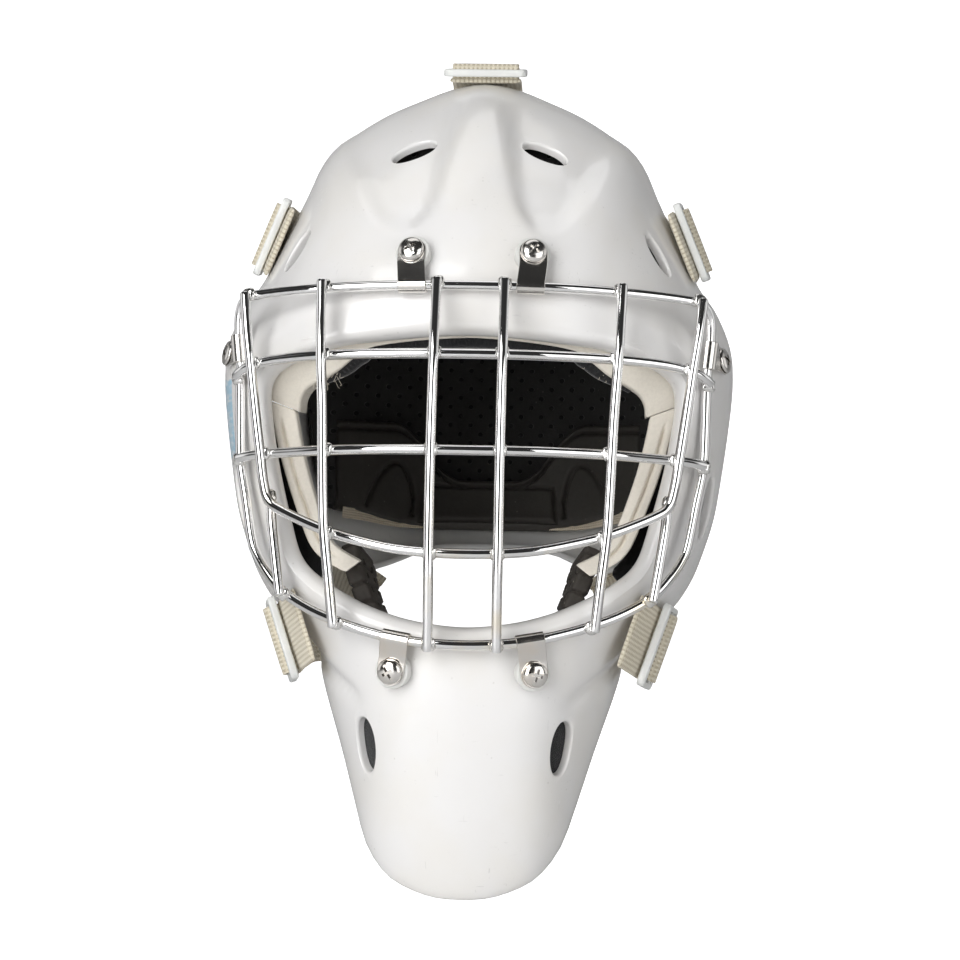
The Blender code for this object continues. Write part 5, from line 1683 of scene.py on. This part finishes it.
@dataclass
class Padding:
    """Everything soft inside the mask."""

    skin: ShellForm
    plate: PlateForm
    palette: Palette

    def ring_point(self, turn: float, inside: float, behind: float) -> Vector:
        """A point inside the opening's lip, at a distance in from its edge and behind it."""
        radius, depth = self.skin.lip(turn)
        r = radius - inside
        return Vector((r * math.cos(math.radians(turn)), depth + behind, r * math.sin(math.radians(turn))))

    def build(self) -> None:
        """Make every pad."""
        self.forehead()
        for side in Side:
            self.cheek(side)
            self.jaw_pad(side)
            self.nape_binding(side)
        self.crown_pad()
        self.chin_cup()
        self.chin_lining()
        self.back_liner()
        self.occipital_pad()

    def forehead(self) -> None:
        """The cream brow liner, with the stitched black roll that takes over along the middle."""
        width = Table([(15, 14), (30, 14), (38, 12), (47, 6), (56, 1.5), (90, 0.6)])

        def way(angle: float) -> Vector:
            """The outward direction at an angle round the opening."""
            return Vector((math.cos(math.radians(angle)), 0, math.sin(math.radians(angle))))

        def centre(u: float) -> Vector:
            """The middle of the section."""
            turn = 20.6 + 138.8 * u
            return self.ring_point(turn, (width.at(upper_angle(turn)) - 2.0) / 2, 25.0)

        def halves(u: float) -> tuple[Vector, Vector]:
            """Half its width, radially, and half its depth."""
            turn = 20.6 + 138.8 * u
            return way(turn) * ((width.at(upper_angle(turn)) + 2.0) / 2), Vector((0, 15.0, 0))

        pad = as_object("brow_liner", bar_loft(140, 80, centre, halves, 0.16), self.palette["cream"], smooth=60)
        show(pad, Rider.MASK.value, "liner_cream", "forehead_liner")

        def roll_turn(u: float) -> float:
            """The angle along the roll."""
            return 30.0 + 120.0 * u

        def roll_centre(u: float) -> Vector:
            """The middle of the roll."""
            turn = roll_turn(u)
            return self.ring_point(turn, max(width.at(upper_angle(turn)), 0) + 1.4, 14.5)

        def roll_halves(u: float) -> tuple[Vector, Vector]:
            """Half the roll's height and depth."""
            slim = 0.3 + 0.7 * ease(min(u, 1 - u) * 9)
            return way(roll_turn(u)) * 3.0 * slim, Vector((0, 3.4 * slim, 0))

        def stitches(u: float, x: float, y: float) -> float:
            """A row of small stitches along the roll's front."""
            return 0.5 * math.exp(-((x + 0.1) / 0.22) ** 2) * (1 + math.cos(u * 2 * math.pi * 78)) if y < 0 else 0.0

        roll = as_object("brow_roll", bar_loft(460, 28, roll_centre, roll_halves, 0.8, stitches),
                         self.palette["velour"], smooth=80)
        show(roll, Rider.MASK.value, "pad_black")
        self.threads(width)

    def threads(self, width: Table) -> None:
        """Loose threads hanging from the brow band."""
        strands = []
        for i in range(26):
            spread = noise.noise(Vector((i * 1.7, 3.1, 0))) * 3.0
            turn = (142.0 if i % 3 else 40.0) + spread + (i % 5) * 1.6
            start = self.ring_point(turn, width.at(upper_angle(turn)) - 0.4, 12.5 + (i % 4) * 0.5)
            sway = Vector((noise.noise(Vector((i, 0.5, 0))) * 6, -0.6, -1.5 - (i % 6) * 0.8))
            curl = Vector((noise.noise(Vector((i, 9.5, 2))) * 3, 0.6, 1.2))
            path = smooth_path((start, start + sway * 0.5 + curl * 0.4, start + sway, start + sway * 1.3 + curl), 4)
            strands.append(tube(path, 0.11, 5, False, 0.0))
        fuzz = as_object("brow_threads", merged(strands), self.palette["thread"], smooth=80)
        show(fuzz, Rider.MASK.value, "liner_cream")

    def cheek(self, side: Side) -> None:
        """One cream cheek liner with its lengthwise groove."""
        inner = Table([(-42, 17), (-32, 16), (-20, 13.5), (0, 12), (21, 11.5)])
        outer = Table([(-42, 9), (-32, 7), (-20, 4), (0, 1.2), (12, -0.5), (21, -2.0)])

        def turn(u: float) -> float:
            """The angle at a share of the liner's length, from its top."""
            angle = 20.4 - 58.0 * u
            return angle if side is Side.RIGHT else 180 - angle

        def centre(u: float) -> Vector:
            """The middle of the section."""
            angle = upper_angle(turn(u))
            return self.ring_point(turn(u), (inner.at(angle) + outer.at(angle)) / 2, 16.25)

        def halves(u: float) -> tuple[Vector, Vector]:
            """Half its width, radially, and half its depth."""
            angle = upper_angle(turn(u))
            out = Vector((math.cos(math.radians(turn(u))), 0, math.sin(math.radians(turn(u)))))
            return out * ((inner.at(angle) - outer.at(angle)) / 2), Vector((0, 5.75, 0))

        def press(u: float, x: float, y: float) -> float:
            """A groove down the front face."""
            if y > 0:
                return 0.0
            return 2.4 * math.exp(-((x - 0.35 + 0.5 * u) / 0.14) ** 2) * ease((u - 0.04) * 12) * ease((0.9 - u) * 12)

        bm = bar_loft(100, 104, centre, halves, 0.2, press)
        pad = as_object(f"cream_cheek_liner_{side.label}", bm, self.palette["cream"], smooth=80)
        show(pad, Rider.MASK.value, "liner_cream", f"cheek_liner_{side.label}")

    def jaw_pad(self, side: Side) -> None:
        """One black velour pad beside the jaw."""
        pad = soft_copy(f"jaw_pad_{side.label}", f"velour_jaw_pad_{side.label}", self.palette["velour"], 3.0, 10)
        puffed(pad, 3.0, 1.2)
        show(pad, Rider.MASK.value, "pad_black", f"jaw_pad_{side.label}")

    def crown_pad(self) -> None:
        """The black pad under the crown, with two sewn channels across it."""
        pad = soft_copy("crown_pad", "crown_foam_pad", self.palette["perforated"], 3.0, 10)
        puffed(pad, 3.0, 1.2)
        show(pad, Rider.MASK.value, "pad_black", "crown_pad")

    def chin_cup(self) -> None:
        """The segmented chin cup: two arms behind the jaw, joined under the chin."""
        half = [(0, -80, -96), (17, -81, -92), (31, -82, -80), (40, -82, -67), (46, -80, -55), (50, -76, -44),
                (52.5, -70, -35)]
        path = smooth_path(mirrored(half[::-1]), steps=24)
        count = len(path) - 1
        frames = []
        for i, point in enumerate(path):
            ahead = Vector(path[min(i + 1, count)] - path[max(i - 1, 0)]).normalized()
            out = Vector((point[0], 0, point[2])).normalized()
            out = (out - ahead * out.dot(ahead)).normalized()
            deep = ahead.cross(out).normalized()
            frames.append((Vector(point), out, deep if deep.y > 0 else -deep))
        run = np.concatenate([[0], np.cumsum(np.linalg.norm(np.diff(path, axis=0), axis=1))])

        def gap(u: float) -> float:
            """How deep the slot between two blocks is, from 0 to 1."""
            spot = run[round(u * count)] / 8.2
            return math.exp(-(((spot % 1) - 0.5) / 0.085) ** 2)

        bm = bar_loft(count, 40, lambda u: frames[round(u * count)][0],
                      lambda u: (frames[round(u * count)][1] * 4.3 * (1 - 0.35 * gap(u)),
                                 frames[round(u * count)][2] * 11.6 * (1 - 0.10 * gap(u))), 0.3)
        cup = as_object("segmented_chin_cup", bm, self.palette["cup"], smooth=60)
        drills = []
        for i in range(10, count - 8, 13):
            point, out, deep = frames[i]
            for shift in (-4.5, 4.5):
                drill = turned(((0, -7), (1.5, -7), (1.5, 7), (0, 7)), 20)
                seat = frame_at(point + deep * shift, deep, out)
                bmesh.ops.transform(drill, matrix=seat, verts=drill.verts)
                drills.append(drill)
        carve(cup, merged(drills))
        show(cup, Rider.MASK.value, "cup_foam", "chin_cup")

    def back_liner(self) -> None:
        """The perforated foam lining of the back plate, a layer from its middle to near its edge."""
        near, far = -self.plate.wall - 1.6, -self.plate.wall - 8.0

        def reach(turn: float) -> float:
            """How far the layer goes towards the plate's edge at a turn."""
            down = -math.sin(math.radians(turn))
            full = math.sin(0.93 * math.pi / 2)
            if down <= 0.05:
                return 0.93
            edge = self.plate.tables["edge"].at(upper_angle(turn))[0]
            return math.asin(min((self.plate.pole_z + 19) / down / edge, full)) * 2 / math.pi

        def place(u: float, v: float) -> Vector:
            """A point of the layer: out along its back, round its edge and in along its front."""
            turn = -90 + 360 * u
            out = 1 - abs(2 * v - 1)
            lift = near + (far - near) * ease((v - 0.46) / 0.08)
            soft = 0.35 * math.sin(math.radians(turn) * 9) * ease((v - 0.5) * 6) * ease(out * 2)
            return self.plate.point(turn, reach(turn) * out, lift + soft)

        bm = warp_grid(144, 92, place)
        pad = as_object("perforated_back_liner", bm, self.palette["perforated"], smooth=80)
        show(pad, Rider.BACK.value, "pad_black", "back_liner")

    def on_plate(self, x: float, z: float, lift: float) -> Vector:
        """The point of the plate seen at (x, z) from the front, lifted inward."""
        down = z - self.plate.pole_z
        turn = math.degrees(math.atan2(down, x))
        edge = self.plate.tables["edge"].at(upper_angle(turn))[0]
        v = math.asin(min(math.hypot(x, down) / edge, 0.999)) * 2 / math.pi
        return self.plate.point(turn, v, lift)

    @staticmethod
    def pad_low(x: float) -> float:
        """The height of the moulded pad's lower edge."""
        return -30.5 + 11 * ease((abs(x) - 30) / 54)

    def occipital_pad(self) -> None:
        """The moulded pad low in the back plate, with its wings, pressed lines and middle panel."""
        columns, around = 280, 160

        def pressed(x: float, z: float, top: float, low: float) -> float:
            """Depth of the pressed lines at a place on the front face."""
            across = abs(x)
            edge_line = math.exp(-((top - z - 4.0) / 1.2) ** 2) * ease((across - 10) / 6)
            reach = 9.5 if across < 54 else 15.0
            arch_z = 7 - ((across - 54) / reach) ** 2 * 16
            slope = 32 * (across - 54) / reach ** 2
            arch = math.exp(-((z - arch_z) / math.hypot(1, slope) / 1.2) ** 2) * ease((z - low - 3) / 3)
            frame = math.exp(-(max(across - 35, abs(z + 18) - 10.5) / 1.1) ** 2)
            return 2.2 * min(edge_line + arch * ease((86 - across) / 8) + 0.8 * frame, 1.0)

        def place(u: float, v: float) -> Vector:
            """A point of the pad."""
            x = (u * 2 - 1) * 86
            across = abs(x)
            top = -3.6 + 32 * ease((across - 14) / 42)
            low = self.pad_low(x)
            share = v / 0.6 if v < 0.6 else (1 - v) / 0.4
            along = share * 2 - 1
            deep = (1 - abs(along) ** 10) ** 0.25 * (1 if v < 0.6 else -1)
            z = (top + low) / 2 + along * (top - low) / 2
            ends = 0.35 + 0.65 * min(min(u, 1 - u) * 14, 1) ** 0.5
            lift = -self.plate.wall - 7.4 - deep * 4.8 * ends
            lift += pressed(x, z, top, low) * ease((deep - 0.5) / 0.3)
            return self.on_plate(x, z, lift)

        bm = warp_grid(columns, around, place)
        cap(bm)
        pad = as_object("occipital_moulded_pad", bm, self.palette["moulded"], smooth=60)
        show(pad, Rider.BACK.value, "cup_foam", "occipital_pad")

    def nape_binding(self, side: Side) -> None:
        """The fuzzy beige elastic that shows under one end of the moulded pad."""
        stations = []
        lift = -self.plate.wall - 9.5
        for share in np.linspace(0, 1, 40):
            x = (84 - 52 * share) * side.value
            low = self.pad_low(x) - 1.4 + 4.6 * share
            base = self.on_plate(x, low, lift + 3.0 * share)
            ahead = self.on_plate(x - side.value, low, lift + 3.0 * share) - base
            out = Vector((-0.15 * x / 84, -1, 0.1)).normalized()
            stations.append((base, out, ahead.cross(out).normalized()))
        binding = as_object(f"nape_binding_{side.label}", webbing(stations, 5.0, 2.2, 0.6, 1.7, 0.5),
                            self.palette["fuzz"], smooth=70)
        show(binding, Rider.BACK.value, "strap_elastic")

    def chin_lining(self) -> None:
        """The thin black foam glued inside the chin, behind its vents."""

        def place(u: float, v: float) -> Vector:
            """A point of the layer."""
            turn = -90 + (u * 2 - 1) * 34
            share = 1 - abs(2 * v - 1)
            lift = -WALL - 0.4 - 3.4 * (ease((v - 0.47) / 0.06) - ease((v - 0.97) / 0.03))
            return self.skin.point(turn, 0.24 + 0.78 * share, lift)

        bm = warp_grid(72, 60, place)
        cap(bm)
        lining = as_object("chin_foam_lining", bm, self.palette["velour"], smooth=80)
        show(lining, Rider.MASK.value, "pad_black")


# ---------------------------------------------------------------- studio


@dataclass
class Studio:
    """Floor, backdrop, lights and camera."""

    floor: float = -0.26
    distance: float = 1.42
    azimuth: float = 2.6
    lens: float = 110.7
    roll: float = 1.0

    def build(self) -> None:
        """Set everything up."""
        self.backdrop()
        self.world()
        self.lamp("key_left", (-0.80, -1.45, 0.45), (1.0, 1.8), 27.0)
        self.lamp("fill_right", (1.10, -1.15, 0.2), (1.2, 1.4), 9.0)
        self.lamp("overhead", (-0.1, 0.1, 1.5), (1.3, 0.8), 3.5)
        self.camera()
        view = bpy.context.scene.view_settings
        view.view_transform = "Standard"
        view.look = "None"

    def backdrop(self) -> None:
        """A pale floor that curves up behind."""
        material = bpy.data.materials.new("studio_floor")
        material.use_nodes = True
        graph = Graph(material.node_tree)
        shader = material.node_tree.nodes["Principled BSDF"]
        place = graph.add("TexCoord")
        tone = graph.blend(graph.noise(place.outputs["Object"], 3.0), (0.90, 0.90, 0.90, 1), (0.86, 0.86, 0.87, 1))
        graph.feed(shader.inputs["Base Color"], tone)
        Finish.constants(shader, Roughness=0.7, Emission_Color=(1, 1, 1, 1))
        seen = graph.add("LightPath").outputs["Is Camera Ray"]
        graph.feed(shader.inputs["Emission Strength"], graph.math("MULTIPLY", seen, 1.0))
        flat, sweep = 1.1, 0.9

        def place_at(u: float, v: float) -> Vector:
            """A point of the sweep."""
            x = (u - 0.5) * 7
            if v < 0.5:
                return Vector((x, -2.6 + (flat + 2.6) * v * 2, self.floor)) / MM
            angle = (v - 0.5) / 0.5 * math.pi / 2 * 1.35
            if angle < math.pi / 2:
                return Vector((x, flat + sweep * math.sin(angle), self.floor + sweep * (1 - math.cos(angle)))) / MM
            return Vector((x, flat + sweep, self.floor + sweep + (angle - math.pi / 2) * 4)) / MM

        obj = as_object("studio_sweep", warp_grid(8, 48, place_at), material, flip=False)

    @staticmethod
    def world() -> None:
        """A white room that is dark overhead and behind the camera, for the chrome."""
        world = bpy.data.worlds.new("studio")
        bpy.context.scene.world = world
        world.use_nodes = True
        tree = world.node_tree
        graph = Graph(tree)
        way = graph.add("TexCoord").outputs["Generated"]
        parts = graph.add("SeparateXYZ", Vector=way)
        top = graph.span(parts.outputs[2], 0.25, 0.75)
        front = graph.span(parts.outputs[1], 0.05, -0.35)
        dark = graph.math("MAXIMUM", top, front)
        level = graph.span(dark, 0.0, 1.0, 0.85, 0.03)
        path = graph.add("LightPath").outputs
        mirrored_light = graph.math("MULTIPLY", level, path["Is Glossy Ray"])
        soft_light = graph.math("MULTIPLY", graph.math("SUBTRACT", 1.0, path["Is Glossy Ray"]), 0.10)
        strength = graph.math("MAXIMUM", graph.math("ADD", mirrored_light, soft_light), path["Is Camera Ray"])
        background = tree.nodes["Background"]
        background.inputs["Color"].default_value = (1, 1, 1, 1)
        graph.feed(background.inputs["Strength"], strength)

    @staticmethod
    def lamp(name: str, place: Triple, size: tuple[float, float], power: float) -> None:
        """A soft rectangular light aimed at the mask.

        Args:
            name: The light's name.
            place: Where it stands, in metres.
            size: Its width and height, in metres.
            power: Its power, in watts.
        """
        light = bpy.data.lights.new(name, "AREA")
        light.shape = "RECTANGLE"
        light.size, light.size_y = size
        light.energy = power
        obj = bpy.data.objects.new(name, light)
        obj.location = place
        obj.rotation_euler = (Vector((0, -0.05, 0)) - Vector(place)).to_track_quat("-Z", "Y").to_euler()
        bpy.context.scene.collection.objects.link(obj)

    def camera(self) -> None:
        """The camera in front of the mask."""
        camera = bpy.data.cameras.new("camera")
        camera.lens = self.lens
        camera.clip_end = 20
        obj = bpy.data.objects.new("camera", camera)
        turn = math.radians(self.azimuth)
        place = Vector((math.sin(turn), -math.cos(turn), 0)) * self.distance
        aim = (-place).to_track_quat("-Z", "Y").to_matrix().to_4x4()
        obj.matrix_world = Matrix.Translation(place) @ aim @ Matrix.Rotation(math.radians(self.roll), 4, "Z")
        bpy.context.scene.collection.objects.link(obj)
        bpy.context.scene.camera = obj


# ---------------------------------------------------------------- the mask


def main() -> None:
    """Build the whole mask and its studio."""
    logging.basicConfig(level=logging.INFO, format="%(name)s: %(message)s")
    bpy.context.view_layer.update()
    Studio().build()
    palette = Palette()
    skin, plate, cage = ShellForm(), PlateForm(), Cage()
    shell_probe, back_probe = Probe(frame_nodes()["shell"]), Probe(frame_nodes()["back_plate"])
    Shell(skin).build(palette["shell"])
    BackPlate(plate).build(palette["plate"])
    cage.build(palette["chrome"], palette["weld"])
    for fixing in fixings(skin, cage):
        fixing.build(shell_probe, palette)
    for strap in (Strap("crown", 90, 180, -16, 3, 90), Strap("upper_right", 50, 112, -44, 3, 36),
                  Strap("upper_left", 130, 248, -44, 3, 144), Strap("lower_right", -43.5, 72, -106, 34, -58),
                  Strap("lower_left", 223.5, -72, -106, 34, 238)):
        strap.build(skin, plate, shell_probe, back_probe, palette)
    Padding(skin, plate, palette).build()


if __name__ == "__main__":
    main()
